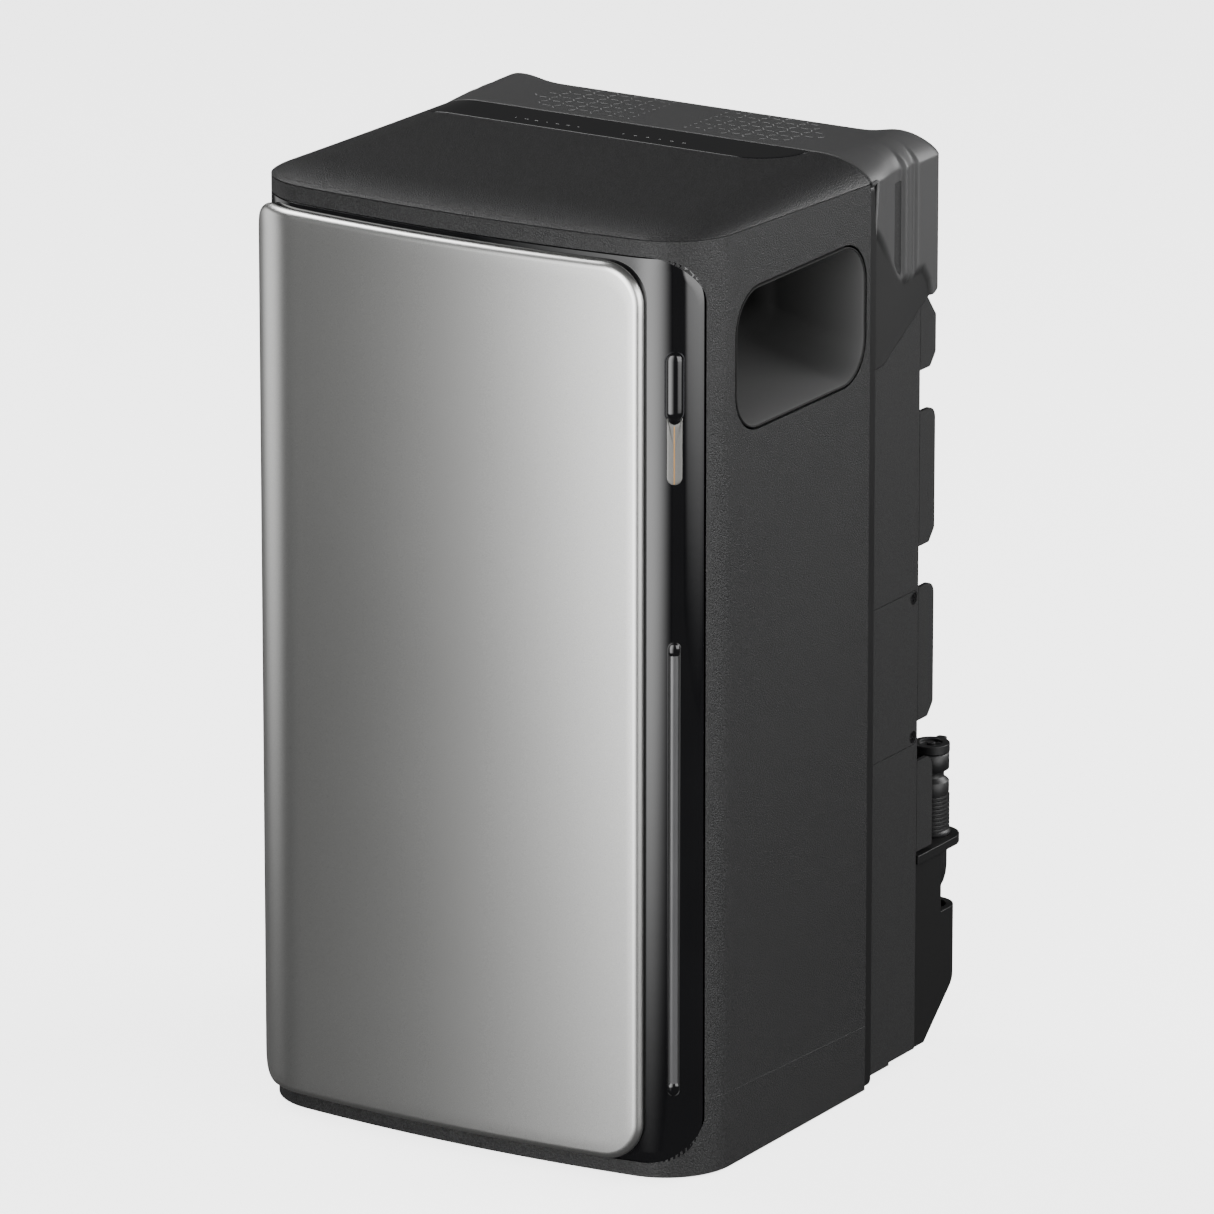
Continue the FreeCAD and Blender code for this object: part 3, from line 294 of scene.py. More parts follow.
def rounded_outline(u0, u1, v0, v1, radius, straight, arc=14):
    """Closed outline of a rounded rectangle as (n, 2) points and its outward directions, anticlockwise.

    straight gives the points along the upright and the level sides, arc those of each corner.
    """
    points, outs = [], []
    right, left, low, high = u1 - radius, u0 + radius, v0 + radius, v1 - radius
    centres = np.array([(right, low), (right, high), (left, high), (left, low)])
    for index, centre in enumerate(centres):
        angles = np.radians(np.linspace(90 * index - 90, 90 * index, arc))
        out = np.stack([np.cos(angles), np.sin(angles)], -1)
        count = straight[1 - index % 2]
        points.append(centre + radius * out)
        following = centres[(index + 1) % 4] + radius * out[-1]
        share = np.linspace(0, 1, count + 2)[1:-1, None]
        points.append(points[-1][-1] + (following - points[-1][-1]) * share)
        outs += [out, np.repeat(out[-1:], count, 0)]
    return np.concatenate(points), np.concatenate(outs)


def roll_profile(edge, height, back, steps):
    """Insets and lifts of a plate's edge: a straight back, then a quarter round up to the face."""
    angles = np.linspace(0, math.pi / 2, steps)
    insets = np.concatenate([[0.35 * edge, 0.0], edge * (1 - np.cos(angles))])
    lifts = np.concatenate([[height - back, height - back + 0.2 * edge], height - edge * (1 - np.sin(angles))])
    return insets, lifts


def dome_profile(width, height, back):
    """Insets and lifts of a half-round bar: an ellipse from the outline up to nearly its middle line."""
    tuck, sink, nearly = 0.1 * MM, 0.4 * MM, 0.998
    angles = np.linspace(0, math.pi / 2, 12)
    insets = np.concatenate([[tuck], width / 2 * nearly * (1 - np.cos(angles))])
    lifts = np.concatenate([[height - back - sink], height - back + back * np.sin(angles)])
    return insets, lifts


def plate_on_body(name, outline, insets, lifts, rings=36):
    """Plate that follows the body: its outline is carried in through a profile, then to the middle.

    A point is outline - inset * outward on the edge, and runs straight to the outline's middle on the
    face; s and z so found are wrapped on the body with the profile's lift.
    """
    points, outs = outline
    edge = points[None] - insets[:, None, None] * outs[None]
    middle = (points.max(0) + points.min(0)) / 2
    share = np.linspace(0, 1, rings)[1:, None, None]
    face = edge[-1][None] + (middle - edge[-1])[None] * share
    flat = np.concatenate([edge, face])
    lift = np.concatenate([lifts, np.full(rings - 1, lifts[-1])])[:, None]
    grid = on_body(flat[..., 0], flat[..., 1], lift)
    return make_object(name, grid, grid_faces(*grid.shape[:2], loop=True))


def ring_on_body(name, outline, insets, lifts):
    """Closed rim that follows an outline on the body, with a closed cross-section."""
    points, outs = outline
    flat = points[None] - insets[:, None, None] * outs[None]
    grid = on_body(flat[..., 0], flat[..., 1], lifts[:, None])
    grid = np.concatenate([grid, grid[:1]])
    return make_object(name, grid, grid_faces(*grid.shape[:2], loop=True))


def turned(name, profile, centre, segments=56):
    """Solid of revolution about an upright axis: each (radius, height) of the profile makes a circle."""
    angle = np.linspace(0, 2 * math.pi, segments, endpoint=False)
    x = centre[0] + profile[:, :1] * np.cos(angle)
    y = centre[1] + profile[:, :1] * np.sin(angle)
    z = np.repeat(profile[:, 1:], segments, 1)
    return make_object(name, np.stack([x, y, z], -1), grid_faces(len(profile), segments, loop=True))


def refined(node, name, bevel):
    """Smooth-shaded copy of a CAD node with its seams merged, flat areas joined and edges eased."""
    level, sharp = math.radians(0.6), 32
    source = frame["nodes"][node].data
    points = np.empty(len(source.vertices) * 3)
    source.vertices.foreach_get("co", points)
    corners = np.empty(len(source.loops), int)
    source.loops.foreach_get("vertex_index", corners)
    obj = make_object(name, points, corners.reshape(-1, 3).tolist(), normals=False)
    work = bmesh.new()
    work.from_mesh(obj.data)
    bmesh.ops.dissolve_limit(work, angle_limit=level, verts=work.verts, edges=work.edges)
    work.to_mesh(obj.data)
    work.free()
    ease = obj.modifiers.new("ease", "BEVEL")
    ease.width = bevel
    ease.segments = 2
    ease.limit_method = "ANGLE"
    ease.angle_limit = math.radians(sharp)
    ease.harden_normals = True
    return crease(obj, sharp)


def walled(obj, thickness):
    """Give an open skin a wall on its inner side, with its sharp edges kept crisp."""
    wall = obj.modifiers.new("wall", "SOLIDIFY")
    wall.thickness = thickness
    wall.offset = -1
    return crease(obj, 50)


def settle(obj, body_name, slot, *replaced, look=None):
    """Finish, ride and slot of a piece, and the CAD nodes it stands for.

    The finish is the slot's own, unless look names another.
    """
    obj.data.materials.clear()
    obj.data.materials.append(FINISHES[look or SLOT_FINISH[slot]])
    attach(obj, body_name)
    if replaced:
        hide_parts(*replaced)


# ---- Shader building --------------------------------------------------------------------------------
class Value:
    """A socket, so that arithmetic on it adds Math nodes."""

    def __init__(self, shader, socket):
        self.shader = shader
        self.socket = socket

    def math(self, operation, other, swap=False):
        pair = (other, self) if swap else (self, other)
        return self.shader.node("ShaderNodeMath", {"operation": operation}, {0: pair[0], 1: pair[1]})

    def __add__(self, other):
        return self.math("ADD", other)

    def __radd__(self, other):
        return self.math("ADD", other, True)

    def __sub__(self, other):
        return self.math("SUBTRACT", other)

    def __rsub__(self, other):
        return self.math("SUBTRACT", other, True)

    def __mul__(self, other):
        return self.math("MULTIPLY", other)

    def __rmul__(self, other):
        return self.math("MULTIPLY", other, True)


class Shader:
    """Node-based material with one Principled shader."""

    def __init__(self, name, **constants):
        self.material = bpy.data.materials.new(name)
        self.material.use_nodes = True
        self.tree = self.material.node_tree
        self.surface = self.tree.nodes["Principled BSDF"]
        for socket, value in constants.items():
            self.surface.inputs[socket.replace("_", " ")].default_value = value

    def node(self, kind, settings, inputs, output=0):
        """Add a node: its settings first, then the value or link of each socket."""
        made = self.tree.nodes.new(kind)
        for key, value in settings.items():
            if key == "stops":
                ramp = made.color_ramp
                for element, (position, tone) in zip(ramp.elements, value):
                    element.position = position
                    element.color = tone
            else:
                setattr(made, key, value)
        for key, value in inputs.items():
            if isinstance(value, Value):
                self.tree.links.new(value.socket, made.inputs[key])
            else:
                made.inputs[key].default_value = value
        return Value(self, made.outputs[output])

    def place(self):
        return self.node("ShaderNodeTexCoord", {}, {}, "Object")

    def noise(self, scale, detail=2.0, roughness=0.5, stretch=None):
        place = self.place()
        if stretch:
            place = self.node("ShaderNodeMapping", {}, {"Vector": place, "Scale": stretch})
        facts = {"Vector": place, "Scale": scale, "Detail": detail, "Roughness": roughness}
        return self.node("ShaderNodeTexNoise", {}, facts)

    def blend(self, share, first, second):
        """Colour between two colours."""
        return self.node("ShaderNodeMix", {"data_type": "RGBA"}, {0: share, 6: (*first, 1), 7: (*second, 1)}, 2)

    def attribute(self, name):
        return self.node("ShaderNodeAttribute", {"attribute_name": name}, {}, "Fac")

    def bump(self, height, depth):
        return self.node("ShaderNodeBump", {}, {"Height": height, "Distance": depth, "Strength": 1.0})

    def feed(self, socket, value):
        self.tree.links.new(value.socket, self.surface.inputs[socket])

    def finished(self, colour, roughness, normal):
        """Feed the three sockets that every finish of a piece varies, and give the material."""
        self.feed("Base Color", colour)
        self.feed("Roughness", roughness)
        self.feed("Normal", normal)
        return self.material


def shade(tint, factor):
    return tuple(min(1.0, part * factor) for part in tint)


def grained(name, tint, rough=0.44, grain=0.0004, scale=1250.0, contrast=3.0):
    """Spark-eroded plastic or powder coat: fine pebbled bump, speckled tint, uneven roughness."""
    made = Shader(name, Specular_IOR_Level=0.5)
    pebbles = made.noise(scale, 2.0, 0.6)
    patches = made.noise(9.0, 3.0)
    stops = ((0.40, (0, 0, 0, 1)), (0.66, (1, 1, 1, 1)))
    speck = made.node("ShaderNodeValToRGB", {"stops": stops}, {0: pebbles})
    return made.finished(made.blend(speck, shade(tint, 1 / contrast), shade(tint, contrast)),
                         rough - 0.22 * (pebbles - 0.5) + 0.05 * patches, made.bump(pebbles, grain))


def smooth_plastic(name, tint, rough, drift=0.06, grain=0.00002):
    """Moulded plastic: nearly even tint, slow drift of roughness and a very fine skin."""
    made = Shader(name, Specular_IOR_Level=0.5)
    patches = made.noise(14.0, 4.0)
    skin = made.noise(2600.0, 2.0)
    return made.finished(made.blend(patches, shade(tint, 0.92), shade(tint, 1.08)),
                         rough + drift * (patches - 0.5) + 0.05 * (skin - 0.5), made.bump(skin, grain))


def gloss_black(name, tint, rough=0.045):
    """High-gloss plastic with a faint orange peel and a film of fine dust marks."""
    made = Shader(name, Specular_IOR_Level=0.5, Coat_Weight=0.6, Coat_Roughness=0.03)
    peel = made.noise(120.0, 2.0)
    film = made.noise(26.0, 5.0)
    return made.finished(made.blend(film, tint, shade(tint, 1.5)), rough + 0.05 * film,
                         made.bump(peel, 0.000008))


def satin_metal(name, tint, rough):
    """Bead-blasted, clear-coated metal: fine sparkle, faint cloud of tint, slight roughness drift."""
    made = Shader(name, Metallic=1.0, Coat_Weight=0.10, Coat_Roughness=0.3)
    beads = made.noise(2600.0, 1.0, 0.5)
    clouds = made.noise(5.0, 3.0)
    return made.finished(made.blend(0.85 * beads + 0.15 * clouds, shade(tint, 0.72), shade(tint, 1.26)),
                         rough + 0.05 * (beads - 0.5) + 0.02 * (clouds - 0.5), made.bump(beads, 0.000006))


def plain_metal(name, tint, rough):
    """Drawn or plated metal with fine lines that run upright."""
    made = Shader(name, Metallic=1.0)
    lines = made.noise(900.0, 2.0, 0.5, (1.0, 1.0, 0.04))
    return made.finished(made.blend(lines, shade(tint, 0.85), shade(tint, 1.1)),
                         rough + 0.12 * (lines - 0.5), made.bump(lines, 0.00001))


def board_green(name):
    """Circuit board's solder mask, lighter over its tracks."""
    made = Shader(name, Roughness=0.35)
    tracks = made.noise(260.0, 1.0, 0.3, (1.0, 0.15, 1.0))
    made.feed("Base Color", made.blend(tracks, (0.004, 0.07, 0.025), (0.02, 0.16, 0.06)))
    made.feed("Normal", made.bump(tracks, 0.00004))
    return made.material


def hood_plastic(name, tint):
    """The hood's smooth plastic, with painted shade where its scoop attribute is set: the recessed scoop is
    darkened.
    """
    made = Shader(name, Specular_IOR_Level=0.5)
    patches = made.noise(12.0, 3.0)
    skin = made.noise(1500.0, 2.0)
    # painted shade: the recessed scoop is darkened to about a quarter of the hood's tint
    scoop_painted_shade = made.blend(made.attribute("scoop"), tint, shade(tint, 0.26))
    speckle = made.node("ShaderNodeMix", {"data_type": "RGBA", "blend_type": "MULTIPLY"},
                        {0: 0.16, 6: scoop_painted_shade, 7: made.blend(skin, (0.55, 0.55, 0.55), (1.0, 1.0, 1.0))}, 2)
    return made.finished(speckle, 0.46 + 0.06 * (patches - 0.5) + 0.04 * (skin - 0.5), made.bump(skin, 0.00002))


def cup_plastic(name, tint):
    """The hand holds' satin plastic, with painted light on the cup's floor near the opening and painted shade
    darkening it towards the bottom of the cup.
    """
    made = Shader(name, Specular_IOR_Level=0.1)
    grain = made.noise(1500.0, 2.0)
    # the depth attribute paints light and shade: the tint falls from a lit floor near the opening to a
    # hundredth deep inside
    depth = made.attribute("depth")
    return made.finished(made.blend(depth, tint, shade(tint, 0.01)), 0.5 + 0.2 * depth + 0.08 * (grain - 0.5),
                         made.bump(grain, 0.00003))


def make_finishes():
    """Every finish, by the name that the pieces ask for."""
    tints = finish()
    return {
        "casing": grained("casing_grain", tuple(tints.casing)),
        "cast": grained("cast_powder_coat", tuple(tints.cast), 0.6, 0.00016, 1400.0, 2.2),
        "cover": smooth_plastic("cover_matte", shade(tuple(tints.cast), 0.9), 0.44),
        "cup": cup_plastic("cup_painted_light_and_shade", (0.15, 0.15, 0.15)),
        "carrier": smooth_plastic("carrier_matte", (0.006, 0.006, 0.006), 0.6),
        "hood": hood_plastic("hood_matte_painted_shade", tuple(tints.hood)),
        "gloss": gloss_black("fascia_gloss", tuple(tints.gloss)),
        "panel": satin_metal("panel_satin", tuple(tints.panel), 0.31),
        "badge": satin_metal("badge_satin", tuple(tints.badge), 0.5),
        "amber": smooth_plastic("line_amber", (0.55, 0.27, 0.05), 0.4),
        "bezel": plain_metal("bezel_dark", (0.03, 0.03, 0.032), 0.25),
        "steel": plain_metal("screw_black_oxide", (0.05, 0.05, 0.052), 0.38),
        "plate": plain_metal("plate_metal", (0.62, 0.62, 0.62), 0.34),
        "copper": plain_metal("conductor_copper", (0.80, 0.42, 0.26), 0.3),
        "rubber": smooth_plastic("seal_rubber", (0.011, 0.011, 0.011), 0.78, 0.05, 0.00005),
        "connector": smooth_plastic("connector_nylon", (0.007, 0.007, 0.0075), 0.45, 0.08, 0.00003),
        "lens": gloss_black("lens_smoke", (0.07, 0.07, 0.072), 0.16),
        "board": board_green("board_green"),
        "cell": smooth_plastic("cell_blue_film", (0.03, 0.11, 0.36), 0.3),
        "pad": smooth_plastic("pad_grey", (0.28, 0.30, 0.34), 0.7),
        "mark": smooth_plastic("mark_pale", (0.34, 0.34, 0.34), 0.5),
        "dash": smooth_plastic("dash_grey", (0.24, 0.24, 0.24), 0.5),
    }


FINISHES = {}
# Name, turn to the right from the front and rise in degrees, distance, width and height in metres,
# glow, and the share of the half width and half height over which the glow fades.
SOFTBOXES = (
    ("front_box", 6.0, 10.0, 2.4, (3.5, 3.3), 5.9, (1.0, 0.4)),
    ("left_box", -84.0, 0.0, 2.2, (2.2, 1.7), 1.2, (0.8, 0.5)),
    ("right_box", 84.0, 8.0, 2.4, (2.6, 2.2), 4.2, (0.3, 0.5)),
    ("rear_right_box", 136.0, 24.0, 2.4, (1.8, 1.6), 12.0, (0.5, 0.6)),
    ("high_box", -92.0, 54.0, 2.4, (1.9, 1.4), 7.5, (0.6, 0.5)),
)
SQUARE = np.array([(-1, -1, 0), (1, -1, 0), (1, 1, 0), (-1, 1, 0)], float)
SLOT_FINISH = {
    "casing_black": "casing", "fascia_black": "gloss", "panel_silver": "panel", "carrier_black": "carrier",
    "hood_grey": "hood", "cast_black": "cast", "cover_black": "cover", "seal_rubber": "rubber",
    "screw_steel": "steel", "badge_silver": "badge", "bezel_metal": "bezel", "lens_smoke": "lens",
    "board_green": "board", "cell_blue": "cell", "plate_metal": "plate", "strap_steel": "plate",
    "conductor": "copper", "capacitor_can": "cell", "module_black": "carrier", "pad_grey": "pad",
    "connector_black": "connector",
}


# ---- Pieces ---------------------------------------------------------------------------------------
class PaintFrame(bpy.types.Operator):
    """Give every CAD node the procedural finish of its material slot"""
    bl_idname = "battery.paint_frame"
    bl_label = "Finishes"

    def execute(self, context):
        FINISHES.update(make_finishes())
        slots = {part["node"]: part["material_slot"] for part in frame["record"]["subparts"]}
        for name, node in frame["nodes"].items():
            material = FINISHES[SLOT_FINISH[slots[name]]]
            for index in range(len(node.material_slots)):
                node.material_slots[index].material = material
            if not node.material_slots:
                node.data.materials.append(material)
        return {"FINISHED"}


class BuildShell(bpy.types.Operator):
    """Casing, base, trim, rear housing, service covers and bracket with eased edges"""
    bl_idname = "battery.build_shell"
    bl_label = "Shell"

    def execute(self, context):
        pieces = (
            ("main_casing", "casing_skin", "casing_black", 0.35 * MM),
            ("base_casing", "base_skin", "casing_black", 0.35 * MM),
            ("trim_frame", "trim_skin", "cover_black", 0.5 * MM),
            ("rear_housing", "housing_skin", "cast_black", 0.5 * MM),
            ("right_service_cover", "right_service_skin", "cast_black", 0.6 * MM),
            ("left_service_cover", "left_service_skin", "cast_black", 0.6 * MM),
            ("plug_bracket", "bracket_skin", "cover_black", 0.35 * MM),
            ("socket_panel", "socket_panel_skin", "cover_black", 0.4 * MM),
            ("outlet_frame", "outlet_frame_skin", "connector_black", 0.4 * MM),
            ("grid_inlet_cap", "inlet_cap_skin", "connector_black", 0.5 * MM),
            ("solar_caps", "solar_caps_skin", "seal_rubber", 0.5 * MM),
            ("heat_sink", "heat_sink_skin", "cast_black", 0.35 * MM),
        )
        for node, name, slot, bevel in pieces:
            settle(refined(node, name, bevel), "housing", slot, node)
        settle(refined("outlet_lid", "outlet_lid_skin", 0.5 * MM), "lid", "connector_black", "outlet_lid")
        return {"FINISHED"}


class BuildTop(bpy.types.Operator):
    """Top cover with its soft roll, the gloss strip let into it and the strip's plain marks"""
    bl_idname = "battery.build_top"
    bl_label = "Top"

    def execute(self, context):
        settle(self.cover(), "housing", "casing_black", "top_cover")
        settle(self.strip(), "housing", "fascia_black", "status_strip")
        settle(self.marks(), "housing", "fascia_black", look="mark")
        return {"FINISHED"}

    def cover(self):
        """Rays from the rear edge's middle to the outline, closely spaced at the roll, then a skirt."""
        end, columns, rows = along_side(REAR_Y), 321, 60
        s = np.linspace(-end, end, columns)
        rim = on_body(s, 0.0, 0.0)[:, :2]
        share = (np.linspace(0, 1, rows)**1.9)[:, None, None]
        flat = rim[None] + (np.array([0.0, REAR_Y]) - rim)[None] * share
        height = top_height(flat[..., 0], flat[..., 1])
        height += SKIN * (TOP_Z - height) / (TOP_Z - seam_height(flat[..., 1]))
        grid = np.concatenate([flat, height[..., None]], -1)
        inner = on_body(s, 0.0, -0.9 * MM)[:, :2]
        skirts = [np.concatenate([inner, grid[0, :, 2:] - drop], -1)[None] for drop in (4.1 * MM, 0.1 * MM)]
        points = np.concatenate([*skirts, grid])
        return walled(make_object("top_skin", points, grid_faces(rows + 2, columns), upward=True), 2.5 * MM)

    def strip(self):
        """Rounded outline on the top, carried in from a tiny roll to its middle, just over the cover."""
        left, right, near, far = STRIP_LOW[0], STRIP_HIGH[0], STRIP_LOW[1], REAR_Y
        small, large = 14 * MM, 28 * MM
        turn = np.radians(np.linspace(180, 270, 20))
        low_end = np.stack([left + small + small * np.cos(turn), near + small + small * np.sin(turn)], -1)
        turn = np.radians(np.linspace(270, 360, 28))
        right_end = np.stack([right - large + large * np.cos(turn), near + large + large * np.sin(turn)], -1)
        right_end = np.concatenate([right_end, [[right, far]]])
        left_end = np.linspace([left, far], low_end[0], 12)[:-1]
        low = np.linspace(low_end[-1], right_end[0], 60)[1:-1]
        high = np.linspace(right_end[-1], left_end[0], 60)[1:-1]
        rim = np.concatenate([left_end, low_end, low, right_end, high])
        middle = (rim.max(0) + rim.min(0)) / 2
        rings = 26
        share = np.concatenate([[0.0, 0.0, 0.012], np.linspace(0.03, 1, rings)])[:, None, None]
        flat = rim[None] + (middle - rim)[None] * share
        lift = np.concatenate([[-1.0 * MM, 0.0, 0.16 * MM], np.full(rings, 0.2 * MM)])[:, None]
        height = top_height(flat[..., 0], flat[..., 1]) + lift
        grid = np.concatenate([flat, height[..., None]], -1)
        return make_object("strip_gloss", grid, grid_faces(*grid.shape[:2], loop=True))

    def marks(self):
        """Two groups of small dashes and dots in one row, each a low rounded bar."""
        bars, row = [], 39 * MM
        for start, count, gap in ((-70 * MM, 7, 6.6 * MM), (-2 * MM, 6, 7.6 * MM)):
            for index in range(count):
                wide = (2.1 if index % 3 else 1.1) * MM
                bars.append((start + gap * index, row, wide, 0.55 * MM, 0.0))
        return flat_bars("strip_marks", bars, 0.22 * MM, 0.06 * MM)


def flat_bars(name, bars, lift, height, surface=top_height):
    """Low rounded bars on a surface, each (x, y, length, width, turn): three rings of one outline."""
    corners, shares = 12, (1.0, 0.96, 0.6)
    angle = np.linspace(0, 2 * math.pi, corners, endpoint=False)
    points, faces = [], []
    for index, (x, y, long, wide, turn) in enumerate(bars):
        end = np.where(np.cos(angle) > 0, 1, -1) * max(long - wide, 0) / 2
        for ring, share in enumerate(shares):
            u = end + share * wide / 2 * np.cos(angle)
            v = share * wide / 2 * np.sin(angle)
            px = x + u * math.cos(turn) - v * math.sin(turn)
            py = y + u * math.sin(turn) + v * math.cos(turn)
            pz = surface(px, py) + lift + (height if ring else 0.0)
            points.append(np.stack([px, py, pz], -1))
        start = corners * len(shares) * index
        faces += grid_faces(len(shares), corners, loop=True, start=start)
        faces.append(list(range(start + corners * (len(shares) - 1), start + corners * len(shares))))
    return make_object(name, np.concatenate(points), faces, smooth=False, normals=False)


class BuildFront(bpy.types.Operator):
    """Metal front panel with a rolled edge over the gloss fascia"""
    bl_idname = "battery.build_front"
    bl_label = "Front"

    def execute(self, context):
        shape, facts = front(), outline_facts()
        reach = body().corner + PANEL_PROUD
        left = -along_corner(math.acos((facts.corner_y - PANEL_HIGH[1]) / reach))
        right = along_corner(math.asin((PANEL_HIGH[0] - facts.corner_x) / reach))
        outline = rounded_outline(left, right, PANEL_LOW[2], PANEL_HIGH[2], shape.panel_corner, (90, 60))
        profile = roll_profile(shape.panel_edge, PANEL_PROUD, 5.4 * MM, 12)
        settle(plate_on_body("front_panel_skin", outline, *profile), "housing", "panel_silver", "front_panel")
        left = -along_side(FASCIA_HIGH[1])
        right = along_corner(math.asin((FASCIA_HIGH[0] - facts.corner_x) / body().corner))
        outline = rounded_outline(left, right, FASCIA_LOW[2], FASCIA_HIGH[2], shape.fascia_corner, (90, 60))
        fascia = plate_on_body("fascia_skin", outline, *roll_profile(0.6 * MM, 0.0, 2.4 * MM, 4), rings=48)
        settle(fascia, "housing", "fascia_black", "front_fascia")
        return {"FINISHED"}


def pill(centre, width, low, high, tall=10):
    """Outline of an upright pill on the body."""
    radius = width / 2 * 0.999
    return rounded_outline(centre - width / 2, centre + width / 2, low, high, radius, (1, tall))


class BuildControls(bpy.types.Operator):
    """Power button in its bezel, the badge under it and the long light bar"""
    bl_idname = "battery.build_controls"
    bl_label = "Controls"

    def execute(self, context):
        shape = front()
        centre = along_corner(shape.control_turn)
        width, gap, rim, flange = shape.button_width, shape.button_gap, 0.95 * MM, 2 * MM
        low, high = BUTTON_LOW[2] + flange, BUTTON_HIGH[2] - flange
        dome = dome_profile(width, 1.1 * MM, 1.4 * MM)
        button = plate_on_body("button_skin", pill(centre, width, low, high), *dome, rings=2)
        settle(button, "button", "fascia_black", "power_button")
        angle = np.linspace(0, 2 * math.pi, 14, endpoint=False)
        foot = low - gap - rim
        outer = pill(centre, width + 2 * (gap + rim), foot, high + gap + rim)
        lifts = (0.3 * np.sin(angle) - 0.15) * MM
        bezel = ring_on_body("bezel_skin", outer, rim / 2 * (1 + np.cos(angle)), lifts)
        settle(bezel, "housing", "bezel_metal", "button_bezel")
        settle(self.badge(centre, width, foot - 0.35 * MM), "housing", "badge_silver", "badge_plate")
        amber = pill(centre - 0.25 * MM, 0.55 * MM, BADGE_LOW[2] + 0.6 * MM, foot - 1.9 * MM)
        line = plate_on_body("badge_line", amber, *roll_profile(0.1 * MM, 0.6 * MM, 0.2 * MM, 3), rings=2)
        settle(line, "housing", "badge_silver", look="amber")
        self.light_bar(centre, shape.lens_width)
        return {"FINISHED"}

    def light_bar(self, centre, lens):
        """Half-round tube in a dark groove, with a domed cap over each end."""
        low, high = LIGHT_LOW[2], LIGHT_HIGH[2]
        wide = lens + 2 * (high - LENS_HIGH[2])
        angle = np.linspace(0, 2 * math.pi, 14, endpoint=False)
        tube = pill(centre, lens, LENS_LOW[2], LENS_HIGH[2], tall=4)
        bar = plate_on_body("light_bar_skin", tube, *dome_profile(lens, 0.9 * MM, 0.9 * MM), rings=2)
        settle(bar, "housing", "lens_smoke", "light_bar_lens")
        outer = pill(centre, wide, low, high, tall=4)
        insets, lifts = 0.35 * MM * (1 + np.cos(angle)), 0.28 * MM * np.sin(angle)
        rim = ring_on_body("light_frame_skin", outer, insets, lifts)
        settle(rim, "housing", "fascia_black", "light_bar_frame")
        insets, lifts = np.array([0.3, 0.4, 0.6]) * MM, np.array([-0.4, 0.1, 0.1]) * MM
        groove = plate_on_body("light_groove", outer, insets, lifts, rings=2)
        settle(groove, "housing", "fascia_black", look="carrier")
        narrow, long, inset = wide - 1.0 * MM, 8.0 * MM, 0.5 * MM
        for name, foot in (("light_cap_low", low + inset), ("light_cap_high", high - inset - long)):
            outline = pill(centre, narrow, foot, foot + long, tall=2)
            cap = plate_on_body(name, outline, *dome_profile(narrow, 1.25 * MM, 1.3 * MM), rings=2)
            settle(cap, "housing", "fascia_black")

    def badge(self, centre, width, top):
        """Pill outline whose head is a hollow arc that nests round the bezel."""
        low, half, shoulder = BADGE_LOW[2], width / 2, 0.6 * MM
        foot = np.radians(np.linspace(180, 360, 25))
        head = np.radians(np.linspace(0, -180, 25))
        crown = top + half * 0.75
        climb = np.linspace(low + half, crown - shoulder, 18)[1:-1]
        points = np.concatenate([
            np.stack([centre + half * np.cos(foot), low + half + half * np.sin(foot)], -1),
            np.stack([np.full(16, centre + half), climb], -1),
            np.stack([centre + (half - 0.35 * MM) * np.cos(head), crown + half * 0.88 * np.sin(head)], -1),
            np.stack([np.full(16, centre - half), climb[::-1]], -1),
        ])
        ahead = np.roll(points, -1, 0) - np.roll(points, 1, 0)
        outs = np.stack([ahead[:, 1], -ahead[:, 0]], -1)
        outs /= np.maximum(np.linalg.norm(outs, axis=1, keepdims=True), 1e-12)
        profile = roll_profile(0.5 * MM, 0.55 * MM, 1.0 * MM, 4)
        return plate_on_body("badge_skin", (points, outs), *profile, rings=10)


